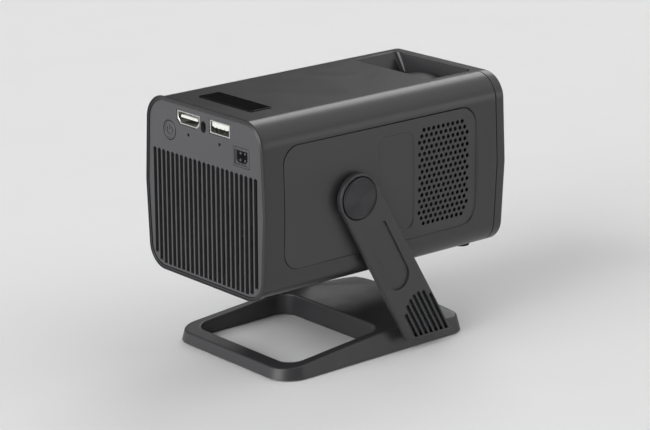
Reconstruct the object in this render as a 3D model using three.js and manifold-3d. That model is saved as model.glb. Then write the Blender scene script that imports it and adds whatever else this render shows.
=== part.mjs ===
import * as THREE from 'three';
import { mergeVertices } from 'three/addons/utils/BufferGeometryUtils.js';
import Module from 'manifold-3d';

// Portable projector on a tilting stand, in millimetres.
// The lens looks along +X, the sockets face -X, the stand rests on Z = 0.
// Left is +Y and right is -Y, as seen by somebody behind the projector.

// Fits
const fit = 0.3;
const overrun = 1;
const weldDistance = 0.0001;

// Facet counts
const cornerSteps = 5;
const smallCornerSteps = 3;
const roundSides = 24;
const mediumSides = 16;
const smallSides = 8;
const tinySides = 6;
const gripSides = 28;

// Body outline
const bodyLength = 135;
const bodyHeight = 75.9;
const bodyBottomZ = 36.5;
const bodyHalfWidth = 38.5;
const sideCreaseRise = 1.45;
const creaseDrop = 0.25;
const topCornerRadius = 11.5;
const bottomCornerRadius = 10.5;
const shellWall = 2.6;
const rimWall = 1.8;
const bezelDepth = 5.4;
const bezelEdge = 1.3;

// Lens well in the top
const wellLength = 25.1;
const wellSideMargin = 14;
const wellCornerRadius = 2.6;
const wellDepth = 8.6;
const wellDrawIn = 5.6;
const wellBlockWall = 2.2;
const wellFrontWall = 0.5;

// Rear panel
const rearRecess = 1.4;
const rearPanelThickness = 2;
const slotPitch = 3.04;
const slotWidth = 1.84;
const slotTopDrop = 11;
const slotSideMargin = 5;
const slotEndMargin = 0.9;
const slotPointHeight = 0.8;
const pinholeRadius = 0.7;
const pinholeDrop = 1.7;

// Side panels
const panelRearMargin = 11.35;
const panelFrontMargin = 17.35;
const panelBottomMargin = 12.7;
const panelTopMargin = 11.6;
const panelCornerRadius = 8;
const panelSink = 0.12;
const panelThickness = 1.1;
const reliefLength = 19.6;
const reliefMargin = 4.6;
const reliefFromHoles = 17;
const reliefCornerRadius = 4;
const reliefDepth = 0.35;

// Sound holes
const holesAcross = 11;
const holePitchX = 2.77;
const holePitchZ = 2.56;
const holeHalfSpan = 0.86;
const holeFieldFromFront = 18.8;
const holeFieldMargin = 4;
const holeSides = 4;
const soundWindowMargin = 1.6;

// Name plate
const plateFromRear = 17.05;
const plateLength = 11;
const plateSideMargin = 21.1;
const plateThickness = 0.9;
const plateCornerRadius = 0.8;
const plateSink = 0.1;

// Body feet
const bodyFootRadius = 4;
const bodyFootSeat = 0.7;
const bodyFootDrop = 1;
const bodyFootFromRear = 13.65;
const bodyFootFromFront = 13.35;
const bodyFootSideMargin = 12.5;

// Tilt pivot
const pivotSetBackShare = 0.1455;
const pinRadius = 3;
const pinHeadRadius = 6;
const pinHeadThickness = 0.8;
const washerRadius = 7.2;
const washerThickness = 1.5;
const pivotPlateSize = 22;
const pivotPlateThickness = 2.6;
const pivotPlateCornerRadius = 3;

// Arms
const armSideGap = 0.3;
const armThickness = 2.55;
const armLean = 29.6 * Math.PI / 180;
const armEndRadius = 10.4;
const armRearAcross = 10.1;
const armFrontAcrossFoot = 12.2;
const armFootZ = 5.4;
const capRadius = 8.8;
const capThickness = 1.3;
const capProud = 0.6;
const capEdge = 0.35;
const recessFromPivot = 16.9;
const recessFromFoot = 28.9;
const recessHalfWidth = 6.2;
const recessCornerRadius = 1.4;
const recessDepth = 0.9;
const grooveCount = 7;
const grooveFirstAcross = -5.2;
const groovePitch = 2.5;
const grooveWidth = 1.4;
const grooveDepth = 1.2;
const grooveEndZ = 6.4;
const grooveArchFromFoot = 22;
const grooveArchAcross = 2.6;
const grooveArchRadius = 7.6;
const tenonFromFootRear = 3.3;
const tenonWidth = 15;
const tenonLength = 7.6;
const tenonBottomZ = 3.2;
const tenonTopZ = 7.2;
const armScrewRadius = 1.3;
const armScrewHeadRadius = 2.3;
const armScrewHeadThickness = 1.1;
const armScrewLength = 4.6;
const armScrewInset = 4;
const armScrewFromFace = 4;

// Stand base
const baseBehindPivot = 37.3;
const baseAheadOfFoot = 14;
const baseSideGap = 1.79;
const baseDraftShare = 0.25;
const baseBottomZ = 0.5;
const baseRearTopZ = 5.2;
const baseSlopeEndTopZ = 10.3;
const baseCrestZ = 11.9;
const noseLength = 11.1;
const noseSteps = 5;
const baseRearCornerRadius = 11.5;
const baseFrontCornerRadius = 8;
const baseRearRail = 8.2;
const baseSideRail = 6.31;
const deckBehindFoot = 5.5;
const windowCornerRadius = 7;
const crownEdgeZ = 6.9;
const crownShoulderZ = 9.9;
const crownShoulderShare = 0.7;
const crownMidZ = 11.5;
const crownMidShare = 0.234;
const crownFall = 4.2 * Math.PI / 180;
const baseFootRadius = 2.6;
const baseFootSeat = 0.8;
const baseFootRearInset = 6.5;
const baseFootFrontInset = 8.3;
const baseFootSideInset = 7.2;

// Front
const frontBorderY = 6;
const frontBorderZ = 5.95;
const frontOpeningRadius = 8;
const frontPanelThickness = 2;
const frontPanelSink = 0.8;
const lensWindowGap = 1.2;
const bezelLedge = 2;

// Lens
const barrelSetBack = 7.65;
const barrelWall = 2.2;
const barrelRearGap = 8;
const barrelLip = 1.6;
const ringTopDrop = 5;
const ringSideGap = 3.9;
const ringBand = 9.2;
const ringSetBack = 0.8;
const ringWidth = 12.4;
const ringRimThickness = 2.8;
const ringHubThickness = 2.2;
const ringWebThickness = 2.4;
const ringEdge = 0.9;
const ringRearGap = 1.4;
const lensRimGap = 0.4;
const frontLensRim = 2.4;
const frontLensBulge = 4.2;
const frontLensHollow = 1.6;
const frontLensInset = 7;
const rearLensRim = 2.2;
const rearLensBulge = 3.4;
const rearLensInset = 6;
const lensSteps = 4;
const holderPlateThickness = 2.2;
const holderWall = 2;

// Light path, its plates placed as shares of the housing length
const housingLengthShare = 0.6144;
const housingSideGap = 6.5;
const housingRise = 13.1;
const housingWall = 1.8;
const housingLegLength = 6;
const housingLegWidth = 40;
const housingLegInset = 2;
const screenPlateThickness = 1.4;
const rearFresnelShare = 0.525;
const lcdShare = 0.665;
const frontFresnelShare = 0.805;
const lcdThickness = 2.2;
const condenserShare = 0.3;
const condenserBulgeShare = 0.1;
const condenserRim = 1.6;
const condenserMargin = 1.2;
const reflectorRimGap = 0.4;
const reflectorThroatShare = 0.538;
const reflectorWall = 1.3;
const reflectorFlange = 1.6;
const reflectorEndGap = 0.6;
const ledBoardMargin = 2;
const ledBoardThickness = 1.6;
const ledThroatShare = 0.65;
const ledThickness = 1;

// Cooling
const sinkSideMargin = 8;
const sinkOverlap = 1;
const sinkBaseThickness = 3;
const sinkFinLength = 13.6;
const sinkFinCount = 11;
const sinkFinThickness = 1.2;
const sinkFanGap = 4.5;
const fanDepth = 15;
const fanCornerRadius = 3;
const fanTopGap = 11.2;
const fanPanelGap = 0.95;
const fanRim = 1.3;
const fanScrewInset = 4.2;
const fanScrewRadius = 1.9;
const fanCupDepth = 2.4;
const fanStrutWidth = 2.6;
const fanStrutCount = 4;
const rotorHubShare = 0.36;
const rotorHubGap = 0.2;
const rotorDepth = 11;
const rotorTipGap = 0.8;
const bladeCount = 7;
const bladeThickness = 1.3;
const bladeSpan = 9.6;
const bladeTilt = 38 * Math.PI / 180;
const bladeRoot = 1;

// Main board and sockets, the sockets placed from the middle outwards
const boardDrop = 11.8;
const boardRearGap = 5.65;
const boardSideGap = 0.6;
const boardThickness = 1.6;
const railThickness = 1.5;
const railWidth = 2.2;
const socketFaceSink = 0.2;
const hdmiGap = 1;
const hdmiHalfWidth = 7.6;
const hdmiHeight = 5.8;
const hdmiBevel = 1.9;
const hdmiDepth = 12;
const hdmiWall = 0.5;
const hdmiTongueHalfWidth = 5.6;
const hdmiTongueThickness = 1;
const hdmiTongueSink = 1.6;
const usbGap = 2.5;
const usbHalfWidth = 6.6;
const usbHeight = 5.8;
const usbDepth = 14;
const usbWall = 0.5;
const usbTongueHalfWidth = 5.4;
const usbTongueThickness = 1.9;
const usbTongueSink = 1.2;
const socketBackWall = 1.6;
const inletMidShare = -0.637;
const inletHalfWidth = 5.1;
const inletHeight = 8;
const inletDepth = 11;
const inletWall = 1.4;
const inletWallLow = 2.2;
const inletSocketDepth = 7;
const inletPinHalf = 0.5;
const inletPinOffset = 1.35;
const inletPinSink = 1;
const irWindowRise = 2;
const irWindowHalfWidth = 1.5;
const irWindowHalfHeight = 2.3;
const irWindowProud = 0.4;
const irWindowLength = 3.4;
const buttonGap = 5.2;
const buttonDrop = 2;
const buttonRadius = 4;
const buttonProud = 0.3;
const buttonFlange = 1;
const buttonFlangeThickness = 0.8;
const buttonTravel = 0.8;
const buttonEdge = 0.4;
const buttonStemRadius = 1.4;
const buttonStemLength = 1;
const switchHalfWidth = 3;
const switchHeight = 4.6;
const switchDepth = 3.6;

// Speakers
const speakerHalfLength = 16.8;
const speakerMargin = 2.4;
const speakerCornerRadius = 6;
const speakerFlangeThickness = 2;
const speakerConeShare = 0.76;
const speakerMagnetShare = 0.69;
const speakerMagnetDepth = 5.4;

// Places along the body
const bodyRearX = -bodyLength / 2;
const bodyFrontX = bodyLength / 2;
const shellFrontX = bodyFrontX - bezelDepth;
const wellFrontX = shellFrontX - wellFrontWall;
const wellRearX = wellFrontX - wellLength;
const rearPanelX = bodyRearX + rearRecess;
const rearLedgeX = rearPanelX + rearPanelThickness + fit;
const panelRearX = bodyRearX + panelRearMargin;
const panelFrontX = bodyFrontX - panelFrontMargin;
const holeFieldX = panelFrontX - holeFieldFromFront;
const reliefFrontX = holeFieldX - reliefFromHoles;
const reliefRearX = reliefFrontX - reliefLength;
const platePlaceX = bodyRearX + plateFromRear;
const bodyFootRearX = bodyRearX + bodyFootFromRear;
const bodyFootFrontX = bodyFrontX - bodyFootFromFront;
const pivotX = -bodyLength * pivotSetBackShare;

// Heights of the body
const bodyTopZ = bodyBottomZ + bodyHeight;
const creaseZ = bodyBottomZ + bodyHeight / 2 - creaseDrop;
const pivotZ = creaseZ;
const lensAxisZ = creaseZ;
const shellFloorZ = bodyBottomZ + shellWall;
const panelBottomZ = bodyBottomZ + panelBottomMargin;
const panelTopZ = bodyTopZ - panelTopMargin;
const reliefBottomZ = panelBottomZ + reliefMargin;
const reliefTopZ = panelTopZ - reliefMargin;
const holeFieldZ = (panelBottomZ + panelTopZ) / 2;
const boardBottomZ = bodyTopZ - boardDrop;
const boardTopZ = boardBottomZ + boardThickness;
const slotTopZ = boardBottomZ - slotTopDrop;
const pinholeZ = boardBottomZ - pinholeDrop;
const hdmiBottomZ = boardTopZ + fit;
const usbBottomZ = boardTopZ + fit;
const inletBottomZ = boardBottomZ - fit - inletHeight;
const irWindowZ = boardTopZ + irWindowRise;
const buttonZ = boardBottomZ - buttonDrop;

// Distances across the body
const sideY = bodyHalfWidth + sideCreaseRise;
const shellInnerY = sideY - shellWall;
const wellHalfWidth = bodyHalfWidth - wellSideMargin;
const plateHalfWidth = bodyHalfWidth - plateSideMargin;
const bodyFootY = bodyHalfWidth - bodyFootSideMargin;
const pocketDepth = panelSink + panelThickness + fit;
const pocketFloorY = sideY - pocketDepth;
const armInnerY = sideY + armSideGap;
const armOuterY = armInnerY + armThickness;
const baseHalfWidth = armInnerY - baseSideGap;
const windowHalfWidth = baseHalfWidth - baseSideRail;
const housingHalfWidth = bodyHalfWidth - housingSideGap;
const boardHalfWidth = bodyHalfWidth - shellWall - boardSideGap;
const hdmiMidY = irWindowHalfWidth + hdmiGap + hdmiHalfWidth;
const usbMidY = -irWindowHalfWidth - usbGap - usbHalfWidth;
const inletMidY = bodyHalfWidth * inletMidShare;
const buttonY = hdmiMidY + hdmiHalfWidth + buttonGap;
const slotsEachSide = Math.floor((bodyHalfWidth - slotSideMargin) / slotPitch);
const holeRowsEachSide = Math.floor(((panelTopZ - panelBottomZ) / 2 - holeFieldMargin) / holePitchZ);

// The focus ring fills the body's height or width, whichever is less, and carries the barrel
const ringRadius = Math.min(bodyTopZ - ringTopDrop - lensAxisZ, shellInnerY - ringSideGap);
const barrelRadius = ringRadius - ringBand;
const lensRadius = barrelRadius - barrelWall - lensRimGap;
const lensWindowRadius = barrelRadius + lensWindowGap;
const barrelFrontX = bodyFrontX - barrelSetBack;
const ringRearX = barrelFrontX - ringSetBack - ringWidth;
const holderFrontX = ringRearX - ringRearGap;
const frontLensX = barrelFrontX - frontLensInset;
const frontOpeningHalfWidth = bodyHalfWidth - frontBorderY;
const frontOpeningHalfHeight = bodyHeight / 2 - frontBorderZ;

// Fan, heat sink, lamp and housing follow each other from the rear panel
const fanRearX = rearPanelX + rearPanelThickness + fanPanelGap;
const sinkRearX = fanRearX + fanDepth + sinkFanGap;
const sinkX = sinkRearX + sinkFinLength;
const ledBoardX = sinkX + sinkBaseThickness + fit;
const housingRearX = ledBoardX + ledBoardThickness + fit;
const housingLength = (holderFrontX - holderPlateThickness - fit - housingRearX) * housingLengthShare;
const housingFrontX = housingRearX + housingLength;
const barrelRearX = housingFrontX + barrelRearGap;
const rearLensX = barrelRearX + rearLensInset;
const housingHalfHeight = lensAxisZ - shellFloorZ - housingRise;
const condenserX = housingRearX + housingLength * condenserShare;
const rearFresnelX = housingRearX + housingLength * rearFresnelShare;
const lcdX = housingRearX + housingLength * lcdShare;
const frontFresnelX = housingRearX + housingLength * frontFresnelShare;
const condenserRadius = housingHalfHeight - housingWall - condenserMargin;
const reflectorLargeRadius = condenserRadius - reflectorRimGap;
const reflectorSmallRadius = reflectorLargeRadius * reflectorThroatShare;
const reflectorRearX = housingRearX + reflectorRimGap + fit;
const reflectorFrontX = condenserX - reflectorEndGap;
const sinkHalfWidth = housingHalfWidth - sinkSideMargin;
const sinkHalfHeight = housingHalfHeight + sinkOverlap;
const fanSize = boardBottomZ - shellFloorZ - fit - fanTopGap;
const fanBoreRadius = fanSize / 2 - fanRim;
const rotorTipRadius = fanBoreRadius - rotorTipGap;
const rotorHubRadius = fanSize / 2 * rotorHubShare;
const fanCupRadius = rotorHubRadius + rotorHubGap;
const boardRearX = rearPanelX + boardRearGap;
const boardFrontX = housingRearX;

// The arms lean forward, so their feet set where the deck and the window of the base begin
const leanSin = Math.sin(armLean);
const leanCos = Math.cos(armLean);
const recessTopAlong = recessFromPivot;
const recessBottomAlong = footAlong(0, armFootZ) - recessFromFoot;
const grooveArchTopAlong = footAlong(0, armFootZ) - grooveArchFromFoot;
const footRearX = armPoint(footAlong(-armRearAcross, armFootZ), -armRearAcross).x;
const footFrontX = armPoint(footAlong(armFrontAcrossFoot, armFootZ), armFrontAcrossFoot).x;
const tenonRearX = footRearX + tenonFromFootRear;
const tenonFrontX = tenonRearX + tenonWidth;
const baseRearX = pivotX - baseBehindPivot;
const baseFrontX = footFrontX + baseAheadOfFoot;
const baseCrestX = baseFrontX - noseLength;
const windowRearX = baseRearX + baseRearRail;
const windowFrontX = footRearX - deckBehindFoot;
const crownReach = baseFrontX - baseRearX;

// Frames for drawing
const axisX = new THREE.Vector3(1, 0, 0);
const axisY = new THREE.Vector3(0, 1, 0);
const axisZ = new THREE.Vector3(0, 0, 1);
const towardsX = new THREE.Matrix4().makeBasis(axisY, axisZ, axisX);
const towardsY = new THREE.Matrix4().makeBasis(axisX, axisZ, axisY.clone().negate());

const wasm = await Module();
wasm.setup();

// Solids
function solidOf(geometry) {
  const plain = geometry.clone();
  plain.deleteAttribute('normal');
  plain.deleteAttribute('uv');
  const merged = mergeVertices(plain, weldDistance);
  const vertProperties = new Float32Array(merged.attributes.position.array);
  const triVerts = new Uint32Array(merged.index.array);
  return new wasm.Manifold(new wasm.Mesh({ numProp: 3, vertProperties, triVerts }));
}

function geometryOf(solid) {
  const mesh = solid.getMesh();
  const geometry = new THREE.BufferGeometry();
  geometry.setAttribute('position', new THREE.BufferAttribute(mesh.vertProperties, mesh.numProp));
  geometry.setIndex(new THREE.BufferAttribute(mesh.triVerts, 1));
  geometry.computeVertexNormals();
  return geometry;
}

function withoutRepeats(points) {
  return points.filter((point, i) => {
    const next = points[(i + 1) % points.length];
    return point.distanceTo(next) > weldDistance;
  });
}

function extruded(points, depth, holes = []) {
  const shape = new THREE.Shape(withoutRepeats(points));
  for (const hole of holes) {
    shape.holes.push(new THREE.Path(withoutRepeats(hole)));
  }
  return new THREE.ExtrudeGeometry(shape, { depth, bevelEnabled: false });
}

// A slab drawn in Y and Z, reaching from one X to another
function slabX(points, fromX, toX, holes = []) {
  const geometry = extruded(points, toX - fromX, holes).applyMatrix4(towardsX);
  return solidOf(geometry.translate(fromX, 0, 0));
}

// A slab drawn in X and Z, reaching from one distance to another on one side
function slabY(points, side, inner, outer, holes = []) {
  const geometry = extruded(points, outer - inner, holes).applyMatrix4(towardsY);
  return solidOf(geometry.translate(0, side > 0 ? outer : -inner, 0));
}

// A slab drawn in X and Y, reaching from one Z to another
function slabZ(points, fromZ, toZ, holes = []) {
  return solidOf(extruded(points, toZ - fromZ, holes).translate(0, 0, fromZ));
}

// A slab drawn in X and Y at its foot and again at its top, with leaning walls between the two
function taperedSlab(foot, top, fromZ, toZ) {
  const count = foot.length;
  const low = foot.flatMap((point) => [point.x, point.y, fromZ]);
  const high = top.flatMap((point) => [point.x, point.y, toZ]);
  const index = THREE.ShapeUtils.triangulateShape(foot, [])
    .flatMap(([a, b, c]) => [a, c, b, count + a, count + b, count + c]);
  for (let i = 0; i < count; i += 1) {
    const next = (i + 1) % count;
    index.push(i, next, count + next, i, count + next, count + i);
  }
  const geometry = new THREE.BufferGeometry();
  geometry.setAttribute('position', new THREE.Float32BufferAttribute([...low, ...high], 3));
  geometry.setIndex(index);
  return solidOf(geometry);
}

function block(fromX, toX, fromY, toY, fromZ, toZ) {
  const geometry = new THREE.BoxGeometry(toX - fromX, toY - fromY, toZ - fromZ);
  return solidOf(geometry.translate((fromX + toX) / 2, (fromY + toY) / 2, (fromZ + toZ) / 2));
}

function rod(axis, radius, from, to, u, v, sides) {
  const geometry = new THREE.CylinderGeometry(radius, radius, to - from, sides);
  geometry.translate(0, (from + to) / 2, 0);
  if (axis === axisX) {
    geometry.rotateZ(-Math.PI / 2);
    geometry.translate(0, u, v);
  }
  if (axis === axisY) {
    geometry.translate(u, 0, v);
  }
  if (axis === axisZ) {
    geometry.rotateX(Math.PI / 2);
    geometry.translate(u, v, 0);
  }
  return solidOf(geometry);
}

// A turned piece that stands along +Y, drawn as height and radius pairs
function turned(profile, sides) {
  const points = profile.map(([height, radius]) => new THREE.Vector2(radius, height));
  if (THREE.ShapeUtils.isClockWise(points)) {
    points.reverse();
  }
  return new THREE.LatheGeometry(points, sides);
}

function turnedX(profile, sides) {
  return solidOf(turned(profile, sides).rotateZ(-Math.PI / 2));
}

function turnedY(profile, sides) {
  return solidOf(turned(profile, sides));
}

// Outlines
function arc(u, v, radius, from, to, steps) {
  const points = [];
  for (let i = 0; i <= steps; i += 1) {
    const angle = from + (to - from) * i / steps;
    points.push(new THREE.Vector2(u + radius * Math.cos(angle), v + radius * Math.sin(angle)));
  }
  return points;
}

function circle(u, v, radius, sides) {
  return arc(u, v, radius, 0, 2 * Math.PI * (sides - 1) / sides, sides - 1);
}

function roundedBox(u0, u1, v0, v1, radius, steps) {
  const quarter = Math.PI / 2;
  return [
    ...arc(u1 - radius, v0 + radius, radius, -quarter, 0, steps),
    ...arc(u1 - radius, v1 - radius, radius, 0, quarter, steps),
    ...arc(u0 + radius, v1 - radius, radius, quarter, 2 * quarter, steps),
    ...arc(u0 + radius, v0 + radius, radius, 2 * quarter, 3 * quarter, steps),
  ];
}

function bodyOutline(inset) {
  const quarter = Math.PI / 2;
  const y = bodyHalfWidth - inset;
  const top = topCornerRadius - inset;
  const bottom = bottomCornerRadius - inset;
  const low = bodyBottomZ + bottomCornerRadius;
  const high = bodyTopZ - topCornerRadius;
  return [
    ...arc(y - bottom, low, bottom, -quarter, 0, cornerSteps),
    new THREE.Vector2(y + sideCreaseRise, creaseZ),
    ...arc(y - top, high, top, 0, quarter, cornerSteps),
    ...arc(top - y, high, top, quarter, 2 * quarter, cornerSteps),
    new THREE.Vector2(-y - sideCreaseRise, creaseZ),
    ...arc(bottom - y, low, bottom, 2 * quarter, 3 * quarter, cornerSteps),
  ];
}

// Pieces and their materials
const group = new THREE.Group();
group.name = 'portable_projector';
const stand = new THREE.Group();
stand.name = 'stand';
const head = new THREE.Group();
head.name = 'projector_head';
group.add(stand, head);

function material(color, roughness, metalness) {
  return { color, roughness, metalness };
}

const shellPlastic = material('#4a4a4b', 0.5, 0);
const panelPlastic = material('#474748', 0.55, 0);
const standPlastic = material('#424243', 0.5, 0);
const glossBlack = material('#0c0c0d', 0.12, 0);
const blackPlastic = material('#161617', 0.5, 0);
const rubber = material('#1c1c1c', 0.9, 0);
const steel = material('#9a9c9e', 0.35, 1);
const darkSteel = material('#4b4d50', 0.4, 1);
const aluminium = material('#b4b7ba', 0.4, 1);
const boardGreen = material('#1f4a33', 0.5, 0);
const whitePlastic = material('#dcdcd6', 0.5, 0);
const clearGlass = material('#cfd8dc', 0.05, 0);
const lcdGlass = material('#20242c', 0.1, 0);
const phosphor = material('#e3c64a', 0.6, 0);

function piece(parent, name, solid, look) {
  const mesh = new THREE.Mesh(geometryOf(solid), new THREE.MeshStandardMaterial(look));
  mesh.name = name;
  parent.add(mesh);
  return mesh;
}

const sides = [['left', 1], ['right', -1]];

// Main shell
function wellTool() {
  const quarter = Math.PI / 2;
  const height = wellDepth + overrun;
  const topHalf = wellHalfWidth + wellDrawIn * overrun / wellDepth;
  const profile = [
    new THREE.Vector2(-topHalf, bodyTopZ + overrun),
    new THREE.Vector2(wellDrawIn - wellHalfWidth, bodyTopZ - wellDepth),
    new THREE.Vector2(wellHalfWidth - wellDrawIn, bodyTopZ - wellDepth),
    new THREE.Vector2(topHalf, bodyTopZ + overrun),
  ];
  const funnel = slabX(profile, wellRearX, shellFrontX + overrun);
  const plan = [
    new THREE.Vector2(shellFrontX + overrun, -wellHalfWidth - overrun),
    new THREE.Vector2(shellFrontX + overrun, wellHalfWidth + overrun),
    ...arc(wellRearX + wellCornerRadius, wellHalfWidth - wellCornerRadius,
      wellCornerRadius, quarter, 2 * quarter, smallCornerSteps),
    ...arc(wellRearX + wellCornerRadius, wellCornerRadius - wellHalfWidth,
      wellCornerRadius, 2 * quarter, 3 * quarter, smallCornerSteps),
  ];
  const bottom = bodyTopZ - wellDepth - overrun;
  const deep = block(wellRearX + wellCornerRadius, shellFrontX + overrun,
    wellDrawIn - wellHalfWidth, wellHalfWidth - wellDrawIn, bottom, bottom + height);
  return funnel.intersect(slabZ(plan, bottom, bodyTopZ + 2 * overrun)).add(deep);
}

function soundWindow() {
  const halfX = holePitchX * (holesAcross - 1) / 2 + holeHalfSpan + soundWindowMargin;
  const halfZ = holePitchZ * holeRowsEachSide + holeHalfSpan + soundWindowMargin;
  return roundedBox(holeFieldX - halfX, holeFieldX + halfX,
    holeFieldZ - halfZ, holeFieldZ + halfZ, reliefCornerRadius, smallCornerSteps);
}

function sidePocket(side) {
  const outline = roundedBox(panelRearX - fit, panelFrontX + fit,
    panelBottomZ - fit, panelTopZ + fit, panelCornerRadius + fit, cornerSteps);
  const band = slabX(bodyOutline(-overrun), bodyRearX, bodyFrontX)
    .subtract(slabX(bodyOutline(pocketDepth), bodyRearX - overrun, bodyFrontX + overrun));
  return band.intersect(slabY(outline, side, 0, sideY + overrun));
}

function mainShell() {
  let shell = slabX(bodyOutline(0), bodyRearX, shellFrontX)
    .subtract(slabX(bodyOutline(shellWall), bodyRearX - overrun, shellFrontX + overrun))
    .subtract(slabX(bodyOutline(rimWall), bodyRearX - overrun, rearLedgeX));
  const wellBlock = block(wellRearX - wellBlockWall, shellFrontX - bezelLedge,
    -wellHalfWidth - wellBlockWall, wellHalfWidth + wellBlockWall,
    bodyTopZ - wellDepth, bodyTopZ - shellWall / 2);
  shell = shell.add(wellBlock.intersect(slabX(bodyOutline(0), bodyRearX, bodyFrontX)));
  shell = shell.subtract(wellTool());
  for (const [, side] of sides) {
    const railOuter = shellInnerY;
    const rail = block(boardRearX, boardFrontX,
      side > 0 ? railOuter - railWidth : -railOuter, side > 0 ? railOuter : railWidth - railOuter,
      boardBottomZ - fit - railThickness, boardBottomZ - fit);
    shell = shell.add(rail);
    shell = shell.subtract(sidePocket(side));
    shell = shell.subtract(slabY(soundWindow(), side, bodyHalfWidth / 2, sideY + overrun));
    shell = shell.subtract(slabY(circle(pivotX, pivotZ, pinRadius + fit, mediumSides),
      side, bodyHalfWidth / 2, sideY + overrun));
  }
  const plateSeat = roundedBox(platePlaceX - plateLength / 2 - fit, platePlaceX + plateLength / 2 + fit,
    -plateHalfWidth - fit, plateHalfWidth + fit, plateCornerRadius + fit, smallCornerSteps);
  shell = shell.subtract(slabZ(plateSeat, bodyTopZ - plateSink - plateThickness - fit, bodyTopZ + overrun));
  for (const [x, y] of bodyFootPlaces) {
    shell = shell.subtract(rod(axisZ, bodyFootRadius + fit, bodyBottomZ - overrun,
      bodyBottomZ + bodyFootSeat + fit, x, y, mediumSides));
  }
  return shell;
}

const bodyFootPlaces = [
  [bodyFootRearX, bodyFootY],
  [bodyFootRearX, -bodyFootY],
  [bodyFootFrontX, bodyFootY],
  [bodyFootFrontX, -bodyFootY],
];

piece(head, 'main_shell', mainShell(), shellPlastic);

for (const [i, [x, y]] of bodyFootPlaces.entries()) {
  const foot = rod(axisZ, bodyFootRadius, -bodyFootDrop, bodyFootSeat, 0, 0, mediumSides);
  piece(head, `body_foot_${i + 1}`, foot, rubber).position.set(x, y, bodyBottomZ);
}

// Side panels
function soundHoles() {
  const holes = [];
  for (let row = -holeRowsEachSide; row <= holeRowsEachSide; row += 1) {
    const z = holeFieldZ + holePitchZ * row;
    const ends = Math.abs(row) === holeRowsEachSide ? 2 : 0;
    const staggered = (row + holeRowsEachSide) % 2;
    const count = holesAcross - ends - staggered;
    for (let i = 0; i < count; i += 1) {
      const x = holeFieldX + holePitchX * (i - (count - 1) / 2);
      holes.push(circle(x, z, holeHalfSpan, holeSides).reverse());
    }
  }
  return holes;
}

function sidePanel(side) {
  const outline = roundedBox(panelRearX, panelFrontX, panelBottomZ, panelTopZ,
    panelCornerRadius, cornerSteps);
  const washerHole = circle(pivotX, pivotZ, washerRadius + fit, mediumSides).reverse();
  const plate = slabY(outline, side, 0, sideY + overrun, [washerHole, ...soundHoles()]);
  const relief = slabY(roundedBox(reliefRearX, reliefFrontX, reliefBottomZ, reliefTopZ,
    reliefCornerRadius, smallCornerSteps), side, 0, sideY + overrun);
  const outer = slabX(bodyOutline(panelSink), bodyRearX, bodyFrontX);
  const sunk = slabX(bodyOutline(panelSink + reliefDepth), bodyRearX - overrun, bodyFrontX + overrun);
  const inner = slabX(bodyOutline(panelSink + panelThickness), bodyRearX - overrun, bodyFrontX + overrun);
  const layer = outer.subtract(inner).subtract(relief.subtract(sunk));
  return plate.intersect(layer);
}

for (const [name, side] of sides) {
  piece(head, `${name}_side_panel`, sidePanel(side), panelPlastic);
}

// Name plate
const plateOutline = roundedBox(-plateLength / 2, plateLength / 2, -plateHalfWidth, plateHalfWidth,
  plateCornerRadius, smallCornerSteps);
piece(head, 'name_plate', slabZ(plateOutline, 0, plateThickness), glossBlack)
  .position.set(platePlaceX, 0, bodyTopZ - plateSink - plateThickness);

// Front bezel and front panel
function frontBezel() {
  const bevel = { depth: bezelDepth, bevelEnabled: true, bevelThickness: bezelEdge,
    bevelSize: bezelEdge, bevelOffset: -bezelEdge, bevelSegments: 2 };
  const geometry = new THREE.ExtrudeGeometry(new THREE.Shape(bodyOutline(0)), bevel)
    .applyMatrix4(towardsX);
  const backX = shellFrontX + fit;
  let bezel = solidOf(geometry.translate(bodyFrontX - bezelDepth - bezelEdge, 0, 0))
    .subtract(block(bodyRearX, backX, -bodyLength, bodyLength, 0, bodyLength));
  const wellFill = block(wellFrontX, backX + overrun, fit - wellHalfWidth + wellDrawIn,
    wellHalfWidth - wellDrawIn - fit, bodyTopZ - wellDepth, bodyTopZ - panelSink);
  bezel = bezel.add(wellFill);
  const opening = roundedBox(-frontOpeningHalfWidth, frontOpeningHalfWidth,
    lensAxisZ - frontOpeningHalfHeight, lensAxisZ + frontOpeningHalfHeight,
    frontOpeningRadius, cornerSteps);
  const seatX = bodyFrontX - frontPanelSink - frontPanelThickness - fit;
  bezel = bezel.subtract(slabX(opening, seatX, bodyFrontX + overrun));
  const through = roundedBox(-frontOpeningHalfWidth + bezelLedge, frontOpeningHalfWidth - bezelLedge,
    lensAxisZ - frontOpeningHalfHeight + bezelLedge, lensAxisZ + frontOpeningHalfHeight - bezelLedge,
    frontOpeningRadius - bezelLedge, cornerSteps);
  bezel = bezel.subtract(slabX(through, wellFrontX - overrun, bodyFrontX));
  return bezel;
}

piece(head, 'front_bezel', frontBezel(), shellPlastic);

const frontPanelOutline = roundedBox(fit - frontOpeningHalfWidth, frontOpeningHalfWidth - fit,
  fit - frontOpeningHalfHeight, frontOpeningHalfHeight - fit, frontOpeningRadius - fit, cornerSteps);
const frontPanelHole = circle(0, 0, lensWindowRadius, roundSides).reverse();
piece(head, 'front_panel', slabX(frontPanelOutline, 0, frontPanelThickness, [frontPanelHole]), glossBlack)
  .position.set(bodyFrontX - frontPanelSink - frontPanelThickness, 0, lensAxisZ);

// Rear panel
function rearSlotBottom(y) {
  const edge = rimWall + fit + slotEndMargin;
  const radius = bottomCornerRadius - edge;
  const straight = bodyHalfWidth - bottomCornerRadius;
  const past = Math.max(0, Math.abs(y) + slotWidth / 2 - straight);
  return bodyBottomZ + bottomCornerRadius - Math.sqrt(Math.max(0, radius * radius - past * past));
}

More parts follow.
